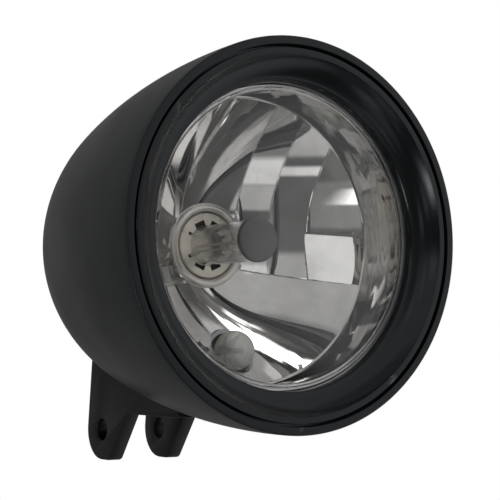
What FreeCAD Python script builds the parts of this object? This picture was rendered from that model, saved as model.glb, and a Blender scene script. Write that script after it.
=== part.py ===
import FreeCAD
import Part
import math
import os
import re
import Sketcher

# Motorcycle headlight with a bullet shell, a faceted insert and a fork mount.
# Millimetres. The origin is the middle of the fork's pivot hole, +Z is up, +X runs along the pivot hole
# and the lamp shines towards -Y. Depths are measured backwards from the plane of the shell's front lip,
# and radii from the lamp's axis.

# Driving sizes: name, millimetres (degrees for angles, shares without unit), what it is
SIZES = {
    # shell
    "rim_radius": (87.0, "outside of the shell at its front lip"),
    "shell_length": (172.0, "front lip to the rear tip of the shell"),
    "lip_width": (3.65, "front lip between the rim and the groove"),
    "lip_edge": (0.8, "bevel on the lip's outer edge"),
    "flank_radius": (380.0, "arc of the long flank"),
    "tail_length": (72.0, "end of the flank, where the shoulder starts, to the rear tip"),
    "nose_inset": (28.275, "how much smaller the round of the rear tip is than the rim's radius"),
    "shell_wall": (4.0, "wall of the shell"),
    "inlet_radius": (7.0, "hole for the cable grommet at the rear tip"),
    # place of the pivot hole
    "pivot_inset": (26.0, "pivot hole in front of the shell's rear tip"),
    "pivot_drop": (19.356, "pivot hole below the shell's skin at the fork screws"),
    # trim ring
    "groove_width": (1.3, "open groove between lip and trim ring"),
    "groove_depth": (4.5, "depth of the floor of that groove"),
    "ring_clearance": (0.15, "trim ring's skirt to the shell"),
    "ring_edge": (0.4, "bevel on the trim ring's outer edge"),
    "land_depth": (0.6, "trim ring's flat front face behind the lip"),
    "land_width": (2.9, "width of that flat face"),
    "dish_radius": (16.0, "hollow of the dished face"),
    "dish_width": (9.35, "radial width of the dish"),
    "dish_depth": (8.0, "depth of the inner end of the dish"),
    "nose_round": (1.6, "round of the ring's inner edge"),
    "retainer_lip": (2.4, "straight inner edge behind that round"),
    "skirt_tail": (0.7, "trim ring's skirt behind the groove of the retaining ring"),
    "insert_clearance": (0.4, "glass edge to the trim ring"),
    # lens, gasket, sealant and retaining ring
    "glass_overlap": (4.8, "how far the glass reaches under the trim ring"),
    "lens_step": (4.0, "flat edge of the glass"),
    "lens_edge": (4.0, "thickness of the glass"),
    "lens_crown": (8.6, "height of the dome"),
    "gasket_thickness": (0.6, "gasket between ring and glass"),
    "gasket_width": (3.4, "radial width of the gasket"),
    "sealant_thickness": (0.8, "bead between glass and reflector"),
    "sealant_width": (4.6, "radial width of the bead"),
    "wire_radius": (1.1, "half the wire of the retaining ring"),
    "wire_inset": (0.4, "wire's centre line inside the glass edge"),
    "wire_slack": (0.2, "room for the wire in its groove"),
    "wire_gap": (24.0, "opening of the retaining ring in degrees"),
    # reflector
    "flange_thickness": (1.5, "flange that is bonded to the glass"),
    "flange_width": (6.0, "radial width of that flange"),
    "collar_draft": (1.6, "how much the collar narrows towards the bowl"),
    "collar_wall": (1.7, "wall of the collar"),
    "ledge_width": (0.6, "ledge between the collar and the bowl"),
    "bowl_depth": (64.6, "flange to the bowl's vertex"),
    "bowl_focus": (26.25, "focal length of the bowl"),
    "bowl_wall": (3.0, "wall of the bowl along the axis"),
    "strip_width": (15.2, "width of one upright facet"),
    "seam_drop": (14.6, "level seam below the axis"),
    "window_rise": (7.0, "top of the square side facets above the axis"),
    "window_lean": (35.0, "lean of the square side facets towards the middle in degrees"),
    "window_tilt": (9.6, "upward tilt of the square side facets in degrees"),
    "window_back": (2.2, "wall behind the square side facets"),
    "bulb_hole": (19.0, "hole for the bulb's locating ring"),
    "bulb_hole_length": (3.9, "length of that hole in front of the seat"),
    "bead_opening": (16.4, "mouth of the bulb hole inside the raised bead"),
    "bead_width": (3.8, "raised bead round that mouth"),
    "bead_height": (1.2, "height of the bead above the bowl"),
    "neck_length": (5.5, "bowl's vertex to the face that the bulb's flange stands on"),
    "neck_wall": (2.0, "wall of the neck round the bulb"),
    "seat_rim": (24.5, "outside of the rim at the neck's rear end"),
    "seat_rim_thickness": (2.0, "thickness of that rim"),
    # bulb
    "base_flange": (21.5, "bulb flange"),
    "base_flange_thickness": (1.2, "thickness of the flange"),
    "seat_clearance": (0.2, "bulb's locating ring in the hole"),
    "locating_length": (3.0, "length of the locating ring"),
    "cup_radius": (15.5, "metal cup round the foot of the bulb glass"),
    "cup_length": (9.5, "height of the cup in front of the seat"),
    "cup_floor": (3.5, "floor of the cup in front of the seat"),
    "cup_edge": (0.7, "bevel of the cup's front edge"),
    "notch_width": (1.6, "narrow slots in the cup round the glass"),
    "notch_angle": (28.0, "narrow slots to the level line in degrees"),
    "notch_wide": (5.6, "wide slots in the cup round the glass"),
    "notch_wide_angle": (66.0, "wide slots to the level line in degrees"),
    "notch_length": (2.6, "reach of the slots past the glass"),
    "notch_depth": (2.0, "depth of the slots"),
    "tube_radius": (9.4, "outside of the bulb glass"),
    "tube_wall": (1.0, "wall of the bulb glass"),
    "tube_clearance": (0.3, "bulb glass in the cup"),
    "bulb_reach": (51.3, "bulb glass in front of the seat"),
    "tip_round": (3.0, "round at the end of the glass"),
    "cap_wall": (0.75, "wall of the glare cap"),
    "cap_thickness": (1.2, "front of the glare cap"),
    "cap_skirt": (1.0, "length of the cap over the glass"),
    "cap_clearance": (0.15, "cap round the glass"),
    "filament_radius": (0.7, "coiled filament"),
    "filament_length": (5.5, "length of a filament"),
    "dip_reach": (33.5, "front end of the dipped filament in front of the seat"),
    "main_reach": (26.0, "front end of the main filament in front of the seat"),
    "support_radius": (0.45, "support wire"),
    "support_gap": (0.25, "support wire to filament"),
    "support_lead": (1.0, "support wires in front of the dipped filament"),
    "shield_radius": (3.8, "outside of the dip shield"),
    "shield_wall": (0.4, "wall of the dip shield"),
    "shield_length": (8.0, "length of the dip shield"),
    "shield_turn": (165.0, "how far round the shield reaches in degrees"),
    "plug_radius": (11.5, "insulating plug behind the flange"),
    "plug_length": (10.0, "length of the plug"),
    "plug_edge": (1.0, "bevel at the plug's rear edge"),
    "blade_width": (8.0, "contact blade"),
    "blade_thickness": (0.8, "thickness of a blade"),
    "blade_length": (14.0, "length of a blade behind the plug"),
    "blade_offset": (7.6, "blade to the lamp's axis"),
    "clip_wire": (0.7, "half the wire of the bulb's spring clip"),
    "clip_radius": (17.0, "bend of the clip"),
    "clip_leg": (15.0, "straight leg of the clip"),
    # dust boot
    "boot_wall": (1.8, "wall of the rubber boot"),
    "boot_clearance": (0.3, "boot round the seat's rim and the plug"),
    "boot_lip": (2.0, "lip that grips the rim from the front"),
    "boot_straight": (3.8, "bulb flange to the place where the boot starts to narrow"),
    "boot_taper": (3.5, "length of the narrowing"),
    "boot_cuff": (2.0, "length of the boot on the plug"),
    # pilot lamp
    "pilot_edge": (14.8, "pilot lamp to the bowl's edge"),
    "pilot_hole": (10.0, "hole for the pilot grommet"),
    "pilot_boss_wall": (1.8, "wall of the boss round that hole"),
    "pilot_boss_length": (15.25, "boss behind the bowl"),
    "pilot_boss_root": (12.75, "start of the boss in front of the bowl's surface"),
    "pilot_radius": (9.3, "globe of the pilot bulb"),
    "pilot_neck": (6.0, "neck of the pilot bulb"),
    "pilot_stand": (12.5, "pilot bulb's front end in front of the bowl"),
    "pilot_sink": (2.0, "pilot bulb's foot in front of the boss's rear end"),
    "pilot_glass": (0.8, "wall of the pilot bulb"),
    "pilot_stem": (9.0, "solid foot of the pilot bulb"),
    "pilot_wire": (0.4, "half the thickness of the pilot bulb's wires"),
    "pilot_wire_spread": (2.4, "between the two wires"),
    "pilot_wire_length": (8.0, "length of those wires"),
    "pilot_coil": (0.5, "radius of the pilot filament"),
    "pilot_slack": (0.1, "clearance between the pilot lamp's parts"),
    "holder_radius": (8.0, "pilot holder"),
    "holder_depth": (10.0, "pilot holder inside the boss"),
    "holder_tail": (12.0, "length of the holder behind the boss"),
    "holder_flange": (2.0, "flange of the holder"),
    "pilot_flange": (1.5, "flange of the pilot grommet"),
    "pilot_flange_width": (1.0, "how far that flange stands out past the boss"),
    # fork
    "fork_width": (41.0, "outside width of the fork"),
    "fork_gap": (26.3, "space between the ears"),
    "ear_radius": (15.0, "round of the ears about the pivot"),
    "pivot_radius": (5.25, "pivot hole for a ten millimetre bolt"),
    "pivot_bevel": (0.75, "bevel at the mouths of the pivot hole"),
    "toe_length": (8.5, "flat under the ears in front of the pivot"),
    "toe_round": (4.5, "round of the ears' front corner"),
    "web_drop": (8.7, "underside of the web above the pivot"),
    "ear_front": (26.5, "pivot to the top of the ears' front edge"),
    "web_round": (2.0, "fillet between the ears and the web"),
    "rear_lean": (6.6, "forward lean of the fork's rear edge in degrees"),
    "saddle_sink": (32.0, "top of the fork's blank below the lamp's axis, inside the shell's form"),
    "web_reach": (76.0, "pivot to the front end of that blank"),
    "gap_roof": (15.0, "roof of the space between the ears above the pivot"),
    "gap_front": (29.0, "pivot to the front wall of that space"),
    # fork screws
    "screw_radius": (3.0, "fork screw"),
    "screw_clearance": (0.3, "screw in the shell"),
    "thread_clearance": (0.1, "screw in a tapped hole"),
    "screw_lead": (36.0, "fork screws in front of the pivot"),
    "screw_spread": (11.0, "fork screw to the middle plane"),
    "screw_head": (5.0, "radius of the screw's head"),
    "screw_head_height": (6.0, "height of the screw's head"),
    "screw_key": (2.5, "half the width of the screw's hexagon socket"),
    "thread_floor": (2.8, "metal below the tapped hole"),
    "thread_runout": (1.0, "tapped hole below the screw's end"),
    "washer_radius": (6.0, "washer"),
    "washer_thickness": (1.6, "thickness of the washer"),
    "pad_rise": (14.644, "flat pad inside the shell above the shell's skin"),
    "pad_width": (38.0, "width of that pad"),
    "pad_length": (20.0, "length of that pad"),
    # trim ring screw
    "ring_screw_radius": (2.5, "trim ring screw"),
    "ring_screw_depth": (12.5, "depth of that screw behind the lip"),
    "ring_screw_head": (4.6, "radius of its countersunk head"),
    "ring_screw_sink": (2.3, "height of the countersunk head"),
    "ring_screw_inset": (0.3, "head below the shell's skin"),
    "ring_screw_tip": (2.6, "screw's point to the pocket of the glass"),
    "ring_thread_runout": (0.8, "tapped hole past the screw's point"),
    # cable grommet
    "grommet_bore": (4.0, "hole for the cable"),
    "grommet_clearance": (0.1, "grommet in its hole"),
    "grommet_flange": (10.5, "flanges of the grommet"),
    "grommet_lip": (2.5, "thickness of the flanges"),
    "grommet_taper": (1.5, "narrowing of the outer flange"),
}

# Sizes worked out from the driving ones, each from those above it
WORKED = {
    # rings one inside the other, from the rim inwards
    "bore_radius": "rim_radius - lip_width",
    "skirt_radius": "bore_radius - ring_clearance",
    "ring_radius": "bore_radius - groove_width",
    "glass_opening": "ring_radius - land_width - dish_width - nose_round",
    "lens_radius": "glass_opening + glass_overlap",
    "dome_edge": "lens_radius - lens_step",
    "pocket_radius": "lens_radius + insert_clearance",
    "collar_mouth": "lens_radius - flange_width",
    "collar_throat": "collar_mouth - collar_draft",
    "bowl_rim": "collar_throat - ledge_width",
    # where the shell's three arcs meet: flank, shoulder and rounded tip touch without a corner
    "flank_depth": "shell_length - tail_length",
    "flank_level": "rim_radius - flank_radius",
    "flank_rise": "sqrt(flank_radius^2 - (flank_depth - lip_edge)^2)",
    "flank_end": "flank_level + flank_rise",
    "flank_turn_x": "(flank_depth - lip_edge) / flank_radius",
    "flank_turn_y": "flank_rise / flank_radius",
    "nose_radius": "rim_radius - nose_inset",
    "nose_x": "shell_length - nose_radius",
    "nose_lead": "flank_depth - nose_x",
    "shoulder_room": "nose_lead * flank_turn_x + flank_end * flank_turn_y - nose_radius",
    "shoulder_radius": "(nose_lead^2 + flank_end^2 - nose_radius^2) / 2 / shoulder_room",
    "shoulder_x": "flank_depth - shoulder_radius * flank_turn_x",
    "shoulder_y": "flank_end - shoulder_radius * flank_turn_y",
    "nose_turn_x": "(nose_x - shoulder_x) / (shoulder_radius - nose_radius)",
    "nose_turn_y": "-shoulder_y / (shoulder_radius - nose_radius)",
    # place of the pivot hole, with the fork under the shell's belly
    "front_reach": "shell_length - pivot_inset",
    "screw_depth": "front_reach - screw_lead",
    "belly_radius": "shoulder_y + sqrt(shoulder_radius^2 - (screw_depth - shoulder_x)^2)",
    "axis_height": "belly_radius + pivot_drop",
    "saddle_top": "axis_height - saddle_sink",
    "pad_top": "pivot_drop + pad_rise",
    "thread_end": "web_drop + thread_floor",
    "screw_end": "thread_end + thread_runout",
    # depths of the insert, from the trim ring backwards
    "retainer_depth": "dish_depth + nose_round + retainer_lip",
    "lens_front": "retainer_depth + gasket_thickness",
    "lens_back": "lens_front + lens_edge",
    "dome_radius": "(dome_edge^2 + lens_crown^2) / 2 / lens_crown",
    "flange_front": "lens_back + sealant_thickness",
    "flange_back": "flange_front + flange_thickness",
    "wire_depth": "flange_back + wire_radius",
    "wire_back": "wire_depth + wire_radius + wire_slack",
    "wire_room": "lens_radius - wire_inset + wire_radius + wire_slack",
    "seat_depth": "wire_back + skirt_tail",
    "ring_screw_end": "pocket_radius + ring_screw_tip",
    "ring_thread_end": "ring_screw_end - ring_thread_runout",
    "bowl_vertex": "flange_front + bowl_depth",
    # bulb
    "bulb_seat": "bowl_vertex + neck_length",
    "plug_front": "bulb_seat + base_flange_thickness",
    "plug_back": "plug_front + plug_length",
    "cup_front": "bulb_seat - cup_length",
    "cup_bottom": "bulb_seat - cup_floor",
    "tube_tip": "bulb_seat - bulb_reach",
    "cap_radius": "tube_radius + cap_clearance + cap_wall",
    "dip_filament": "bulb_seat - dip_reach",
    "main_filament": "bulb_seat - main_reach",
    "support_front": "dip_filament - support_lead",
    "support_offset": "filament_radius + support_gap + support_radius",
    "support_below": "2 * support_offset - support_radius",
    "boot_barrel": "plug_front + boot_straight",
    "boot_waist": "boot_barrel + boot_taper",
    # pilot lamp
    "pilot_drop": "bowl_rim - pilot_edge",
    "pilot_floor": "bowl_vertex - pilot_drop^2 / 4 / bowl_focus",
    "pilot_boss_front": "pilot_floor - pilot_boss_root",
    "pilot_boss_end": "pilot_floor + pilot_boss_length",
    "pilot_tip": "pilot_floor - pilot_stand",
    "pilot_centre": "pilot_tip + pilot_radius",
    "pilot_foot": "pilot_boss_end - pilot_sink",
    "holder_front": "pilot_boss_end - holder_depth",
}

doc = FreeCAD.newDocument("headlight")
sheet = doc.addObject("Spreadsheet::Sheet", "Sizes")
worked_sheet = doc.addObject("Spreadsheet::Sheet", "Worked")
nodes = []


def bound(formula):
    """Turn the size names in a formula into references to the cells of the two sheets."""
    def cell(match):
        word = match.group(0)
        if word in SIZES:
            return "Sizes." + word
        if word in WORKED:
            return "Worked." + word
        return word
    return re.sub(r"[a-z][a-z_]*", cell, formula)


def measure(formula):
    return float(sheet.evalExpression(bound(formula)))


def fill_sheets():
    for row, (name, (value, note)) in enumerate(SIZES.items(), start=1):
        sheet.set("A%d" % row, name)
        sheet.set("B%d" % row, str(value))
        sheet.setAlias("B%d" % row, name)
        sheet.set("C%d" % row, note)
    doc.recompute()
    for row, (name, formula) in enumerate(WORKED.items(), start=1):
        worked_sheet.set("A%d" % row, name)
        worked_sheet.set("B%d" % row, "=" + bound(formula).replace("Worked.", ""))
        worked_sheet.setAlias("B%d" % row, name)
        doc.recompute()


# Sketches


def new_body(name, on_lamp_axis=True):
    """A body whose own origin is the middle of the front lip, or the pivot hole."""
    body = doc.addObject("PartDesign::Body", name)
    if on_lamp_axis:
        body.setExpression("Placement.Base.y", bound("-front_reach"))
        body.setExpression("Placement.Base.z", bound("axis_height"))
    return body


def new_sketch(body, plane="YZ_Plane", lift="0"):
    """A sketch on one of the body's planes. On YZ its x runs backwards and its y upwards."""
    sketch = body.newObject("Sketcher::SketchObject", body.Name + "_outline")
    support = next(item for item in body.Origin.OriginFeatures if item.Role == plane)
    sketch.AttachmentSupport = (support, [""])
    sketch.MapMode = "FlatFace"
    sketch.setExpression("AttachmentOffset.Base.z", bound(lift))
    return sketch


def fix_point(sketch, edge, end, x, y):
    """Tie one end of an edge to two formulas."""
    for kind, formula in (("DistanceX", x), ("DistanceY", y)):
        rule = Sketcher.Constraint(kind, -1, 1, edge, end, measure(formula))
        index = sketch.addConstraint(rule)
        sketch.setExpression("Constraints[%d]" % index, bound(formula))


def arc_between(start, end, radius, side):
    """The shorter arc from start to end. Its centre is on the left for side 1 and on the right for -1."""
    chord = end - start
    left = FreeCAD.Vector(-chord.y, chord.x, 0).normalize()
    height = math.sqrt(radius ** 2 - chord.Length ** 2 / 4)
    centre = start + chord * 0.5 + left * (side * height)
    angles = [math.atan2(point.y - centre.y, point.x - centre.x) for point in (start, end)]
    if side < 0:
        angles.reverse()
    circle = Part.Circle(centre, FreeCAD.Vector(0, 0, 1), radius)
    return Part.ArcOfCircle(circle, angles[0], angles[1])


def draw(sketch, corners, closed=True):
    """Draw an outline through corners (x, y). A corner (x, y, radius, side) ends an arc."""
    count = len(corners)
    points = [FreeCAD.Vector(measure(corner[0]), measure(corner[1]), 0) for corner in corners]
    ends = []
    for index in range(count if closed else count - 1):
        after = (index + 1) % count
        target = corners[after]
        if len(target) == 2:
            edge = sketch.addGeometry(Part.LineSegment(points[index], points[after]))
            ends.append((edge, 1, 2))
        else:
            radius, side = target[2], target[3]
            arc = arc_between(points[index], points[after], measure(radius), side)
            edge = sketch.addGeometry(arc)
            rule = sketch.addConstraint(Sketcher.Constraint("Radius", edge, measure(radius)))
            sketch.setExpression("Constraints[%d]" % rule, bound(radius))
            ends.append((edge, 1, 2) if side > 0 else (edge, 2, 1))
        fix_point(sketch, edge, ends[-1][1], corners[index][0], corners[index][1])
    for index, (edge, first, last) in enumerate(ends):
        if index + 1 < len(ends) or closed:
            following, its_first, _ = ends[(index + 1) % len(ends)]
            sketch.addConstraint(Sketcher.Constraint("Coincident", edge, last, following, its_first))
    if not closed:
        edge, _, last = ends[-1]
        fix_point(sketch, edge, last, corners[-1][0], corners[-1][1])
    return sketch


def draw_circle(sketch, x, y, radius):
    centre = FreeCAD.Vector(measure(x), measure(y), 0)
    edge = sketch.addGeometry(Part.Circle(centre, FreeCAD.Vector(0, 0, 1), measure(radius)))
    rule = sketch.addConstraint(Sketcher.Constraint("Radius", edge, measure(radius)))
    sketch.setExpression("Constraints[%d]" % rule, bound(radius))
    fix_point(sketch, edge, 3, x, y)
    return sketch


# Ways of making a piece


def turn(body, sketch, degrees="360"):
    """Turn a sketch about the body's Y axis. A part turn goes evenly to both sides of its plane."""
    feature = body.newObject("PartDesign::Revolution", body.Name + "_turning")
    feature.Profile = sketch
    feature.ReferenceAxis = (sketch, ["H_Axis"])
    feature.Midplane = degrees != "360"
    feature.setExpression("Angle", bound(degrees))
    return body


def turned(name, corners, degrees="360"):
    """A piece turned about the lamp's axis from an outline of (depth, radius) corners."""
    body = new_body(name)
    return turn(body, draw(new_sketch(body), corners), degrees)


def place(thing, x, depth, height):
    """Put a thing at a depth behind the lip and a height above the lamp's axis."""
    thing.setExpression("Placement.Base.x", bound(x))
    thing.setExpression("Placement.Base.y", bound(depth + " - front_reach"))
    thing.setExpression("Placement.Base.z", bound(height + " + axis_height"))
    return thing


def rod(name, radius, length, x, depth, height, direction=(0, 1, 0)):
    """A cylinder that starts at the given place and runs along direction."""
    thing = doc.addObject("Part::Cylinder", name)
    thing.setExpression("Radius", bound(radius))
    thing.setExpression("Height", bound(length))
    turn_to = FreeCAD.Rotation(FreeCAD.Vector(0, 0, 1), FreeCAD.Vector(*direction))
    thing.Placement = FreeCAD.Placement(FreeCAD.Vector(), turn_to)
    return place(thing, x, depth, height)


def block(name, lengths, x, depth, height):
    """A box whose low corner is at the given place."""
    thing = doc.addObject("Part::Box", name)
    for side, formula in zip(("Length", "Width", "Height"), lengths):
        thing.setExpression(side, bound(formula))
    return place(thing, x, depth, height)


def join(name, pieces):
    thing = doc.addObject("Part::MultiFuse", name)
    thing.Shapes = pieces
    return thing


def cut(name, base, tool):
    thing = doc.addObject("Part::Cut", name)
    thing.Base = base
    thing.Tool = tool
    return thing


def group(name, pieces):
    thing = doc.addObject("Part::Compound", name)
    thing.Links = pieces
    return thing


def node(label, thing):
    """Name a finished piece. The label becomes its file's name."""
    thing.Label = label
    nodes.append(thing)
    return thing


# Shell and fork


def shell_curve(inset, sign):
    """The shell's flank and shoulder, moved inwards. Sign -1 runs backwards, 1 runs forwards."""
    flank = ("flank_depth - %s * flank_turn_x" % inset, "flank_end - %s * flank_turn_y" % inset)
    shoulder = (
        "shoulder_x + (shoulder_radius - %s) * nose_turn_x" % inset,
        "shoulder_y + (shoulder_radius - %s) * nose_turn_y" % inset,
    )
    if sign < 0:
        return [flank + ("flank_radius - %s" % inset, -1), shoulder + ("shoulder_radius - %s" % inset, -1)]
    return [shoulder + ("nose_radius - %s" % inset, 1), flank + ("shoulder_radius - %s" % inset, 1)]


def tip_at(inset, radius):
    """Where the rounded tip, moved inwards, crosses a radius."""
    return ("nose_x + sqrt((nose_radius - %s)^2 - (%s)^2)" % (inset, radius), radius)


def bullet(name, inset):
    """The shell's outer form without its hollow, moved inwards."""
    corners = [("lip_edge", "0"), ("lip_edge", "rim_radius - " + inset)]
    corners += shell_curve(inset, -1)
    corners += [("shell_length - " + inset, "0", "nose_radius - " + inset, -1)]
    return turned(name, corners)


def headlight_shell():
    corners = [
        ("0", "bore_radius"),
        ("0", "rim_radius - lip_edge"),
        ("lip_edge", "rim_radius"),
    ]
    corners += shell_curve("0", -1)
    corners += [tip_at("0", "inlet_radius") + ("nose_radius", -1), tip_at("shell_wall", "inlet_radius")]
    corners += shell_curve("shell_wall", 1)
    inside = "flank_level + sqrt((flank_radius - shell_wall)^2 - (seat_depth - lip_edge)^2)"
    corners += [("seat_depth", inside, "flank_radius - shell_wall", 1), ("seat_depth", "bore_radius")]
    turning = turned("shell_turning", corners)

    # A flat pad inside, under the heads of the fork screws, rooted in the middle of the wall
    pad_blank = block(
        "pad_blank", ("pad_width", "pad_length", "axis_height"),
        "-pad_width / 2", "screw_depth - pad_length / 2", "pad_top - 2 * axis_height",
    )
    pad = doc.addObject("Part::Common", "pad")
    pad.Base = pad_blank
    pad.Tool = bullet("wall_middle", "shell_wall / 2")
    casting = join("shell_casting", [turning, pad])

    drills = [
        rod("shell_drill", "screw_radius + screw_clearance", "axis_height",
            x, "screw_depth", "pad_top - axis_height", (0, 0, -1))
        for x in ("-screw_spread", "screw_spread")
    ]
    sink = ring_screw_form("sink", "screw_clearance", "-2 * ring_screw_inset", "bore_radius - land_width")
    return cut("shell_drilled", casting, join("shell_drills", drills + [sink]))


def mount_fork(bullet_form):
    body = new_body("fork", on_lamp_axis=False)
    rear_rise = "(saddle_top - ear_radius * sin(rear_lean)) * tan(rear_lean)"
    corners = [
        ("-web_reach", "web_drop"),
        ("-ear_front", "web_drop"),
        ("-toe_length", "-ear_radius"),
        ("0", "-ear_radius"),
        ("ear_radius * cos(rear_lean)", "ear_radius * sin(rear_lean)", "ear_radius", 1),
        ("ear_radius * cos(rear_lean) - " + rear_rise, "saddle_top"),
        ("-web_reach", "saddle_top"),
    ]
    blank = body.newObject("PartDesign::Pad", "fork_blank")
    blank.Profile = draw(new_sketch(body), corners)
    blank.SideType = "Symmetric"
    blank.setExpression("Length", bound("fork_width"))
    doc.recompute()
    rounded = blank
    corner_rounds = (("web_drop", "ear_front", "web_round"), ("-ear_radius", "toe_length", "toe_round"))
    for height, reach, radius in corner_rounds:
        fillet = body.newObject("PartDesign::Fillet", "fork_fillet")
        fillet.Base = (rounded, edges_along_x(rounded.Shape, -measure(reach), measure(height)))
        fillet.setExpression("Radius", bound(radius))
        doc.recompute()
        rounded = fillet

    gap = body.newObject("PartDesign::Pocket", "fork_space")
    gap.Profile = draw(new_sketch(body), [
        ("-gap_front", "gap_roof"),
        ("-gap_front", "-2 * ear_radius"),
        ("2 * ear_radius", "-2 * ear_radius"),
        ("2 * ear_radius", "gap_roof"),
    ])
    gap.SideType = "Symmetric"
    gap.setExpression("Length", bound("fork_gap"))
    bore = body.newObject("PartDesign::Pocket", "pivot_hole")
    bore.Profile = draw_circle(new_sketch(body), "0", "0", "pivot_radius")
    bore.SideType = "Symmetric"
    bore.Type = "ThroughAll"
    doc.recompute()
    bevel = body.newObject("PartDesign::Chamfer", "pivot_mouths")
    bevel.Base = (bore, hole_mouths(bore.Shape, measure("fork_width") / 2, measure("pivot_radius")))
    bevel.setExpression("Size", bound("pivot_bevel"))

    taps = [
        rod("fork_tap", "screw_radius + thread_clearance", "axis_height",
            x, "screw_depth", "thread_end - axis_height", (0, 0, 1))
        for x in ("-screw_spread", "screw_spread")
    ]
    return cut("fork_saddle", body, join("fork_tools", [bullet_form] + taps))


def edges_along_x(shape, y, z):
    """Names of the edges along X that pass through a point of the side view."""
    names = []
    for number, edge in enumerate(shape.Edges, start=1):
        middle = edge.CenterOfMass
        if edge.BoundBox.YLength < 1e-6 and abs(middle.y - y) < 1e-3 and abs(middle.z - z) < 1e-3:
            names.append("Edge%d" % number)
    return names


def hole_mouths(shape, x, radius):
    """Names of the round edges of the pivot hole on the outer faces of the ears."""
    names = []
    for number, edge in enumerate(shape.Edges, start=1):
        round_edge = edge.Curve.TypeId == "Part::GeomCircle" and abs(edge.Curve.Radius - radius) < 1e-6
        if round_edge and abs(abs(edge.CenterOfMass.x) - x) < 1e-6:
            names.append("Edge%d" % number)
    return names


def fork_fasteners():
    screws = []
    washers = []
    seat = "pad_top - axis_height"
    under_head = seat + " + washer_thickness"
    for side in ("-", ""):
        x = side + "screw_spread"
        shank = rod("screw_shank", "screw_radius", "pad_top + washer_thickness - screw_end",
                    x, "screw_depth", "screw_end - axis_height", (0, 0, 1))
        head = rod("screw_head", "screw_head", "screw_head_height", x, "screw_depth", under_head, (0, 0, 1))
        key = doc.addObject("Part::Prism", "screw_socket")
        key.Polygon = 6
        key.setExpression("Circumradius", bound("2 * screw_key / sqrt(3)"))
        key.setExpression("Height", bound("screw_head_height"))
        place(key, x, "screw_depth", under_head + " + screw_head_height / 2")
        screws.append(cut("fork_screw", join("screw_blank", [shank, head]), key))
        disc = rod("washer_disc", "washer_radius", "washer_thickness", x, "screw_depth", seat, (0, 0, 1))
        hole = rod("washer_hole", "screw_radius + screw_clearance", "washer_thickness",
                   x, "screw_depth", seat, (0, 0, 1))
        washers.append(cut("fork_washer", disc, hole))
    return group("screw_pair", screws), group("washer_pair", washers)


# Trim ring and the insert that it holds


def ring_screw_form(name, clearance, mouth, end_radius):
    """Countersunk form under the lamp, turned about an upright axis that points at the lamp's axis."""
    body = new_body(name)
    upright = FreeCAD.Rotation(FreeCAD.Vector(1, 0, 0), 90)
    body.Placement = FreeCAD.Placement(FreeCAD.Vector(), upright)
    place(body, "0", "ring_screw_depth", "ring_screw_inset - rim_radius")
    shank = "(ring_screw_radius + %s)" % clearance
    slope = "ring_screw_sink / (ring_screw_head - ring_screw_radius)"
    end = "rim_radius - ring_screw_inset - (%s)" % end_radius
    corners = [
        ("0", "ring_screw_head"),
        ("(ring_screw_head - %s) * %s" % (shank, slope), shank),
        (end, shank),
        (end, "0"),
        (mouth, "0"),
    ]
    if mouth != "0":
        corners.append((mouth, "ring_screw_head"))
    return turn(body, draw(new_sketch(body), corners))


def trim_ring():
    corners = [
        ("land_depth", "ring_radius - land_width", "dish_radius", 1),
        ("land_depth", "ring_radius - ring_edge"),
        ("land_depth + ring_edge", "ring_radius"),
        ("groove_depth", "ring_radius"),
        ("groove_depth", "skirt_radius"),
        ("seat_depth", "skirt_radius"),
        ("seat_depth", "pocket_radius"),
        ("wire_back", "pocket_radius"),
        ("wire_back", "wire_room"),
        ("flange_back", "wire_room"),
        ("flange_back", "pocket_radius"),
        ("retainer_depth", "pocket_radius"),
        ("retainer_depth", "glass_opening"),
        ("dish_depth + nose_round", "glass_opening"),
        ("dish_depth", "glass_opening + nose_round", "nose_round", -1),
    ]
    turning = turned("ring_turning", corners)
    tap = rod("ring_tap", "ring_screw_radius + thread_clearance", "rim_radius - ring_thread_end",
              "0", "ring_screw_depth", "-rim_radius", (0, 0, 1))
    return cut("ring_tapped", turning, tap)


def lens():
    return turned("glass", [
        ("lens_front - lens_crown", "0"),
        ("lens_front", "dome_edge", "dome_radius", -1),
        ("lens_front", "lens_radius"),
        ("lens_back", "lens_radius"),
        ("lens_back", "dome_edge"),
        ("lens_back - lens_crown", "0", "dome_radius", 1),
    ])


def flat_ring(name, front, back, inner, outer):
    return turned(name, [(front, inner), (front, outer), (back, outer), (back, inner)])


def retaining_ring():
    body = new_body("snap_ring")
    wire = draw_circle(new_sketch(body), "wire_depth", "lens_radius - wire_inset", "wire_radius")
    return turn(body, wire, "360 - wire_gap")


# Reflector: the bowl's upper half is a set of upright facets that are straight from side to side, so that
# they meet in sharp seams on the bowl's surface. A square facet on each side is flat and leans backwards.


def parabola(vertex, spread, radius):
    """Edge of a parabola in the YZ plane, from its vertex out to a radius."""
    curve = Part.BezierCurve()
    rim = vertex - radius ** 2 / spread
    curve.setPoles([
        FreeCAD.Vector(0, vertex, 0),
        FreeCAD.Vector(0, vertex, radius / 2),
        FreeCAD.Vector(0, rim, radius),
    ])
    return curve.toShape()


def bowl_curve(front):
    """The bowl's parabola, from its vertex to the depth of its rim."""
    spread = 4 * measure("bowl_focus")
    vertex = measure("bowl_vertex")
    return parabola(vertex, spread, math.sqrt(spread * (vertex - front)))


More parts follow.
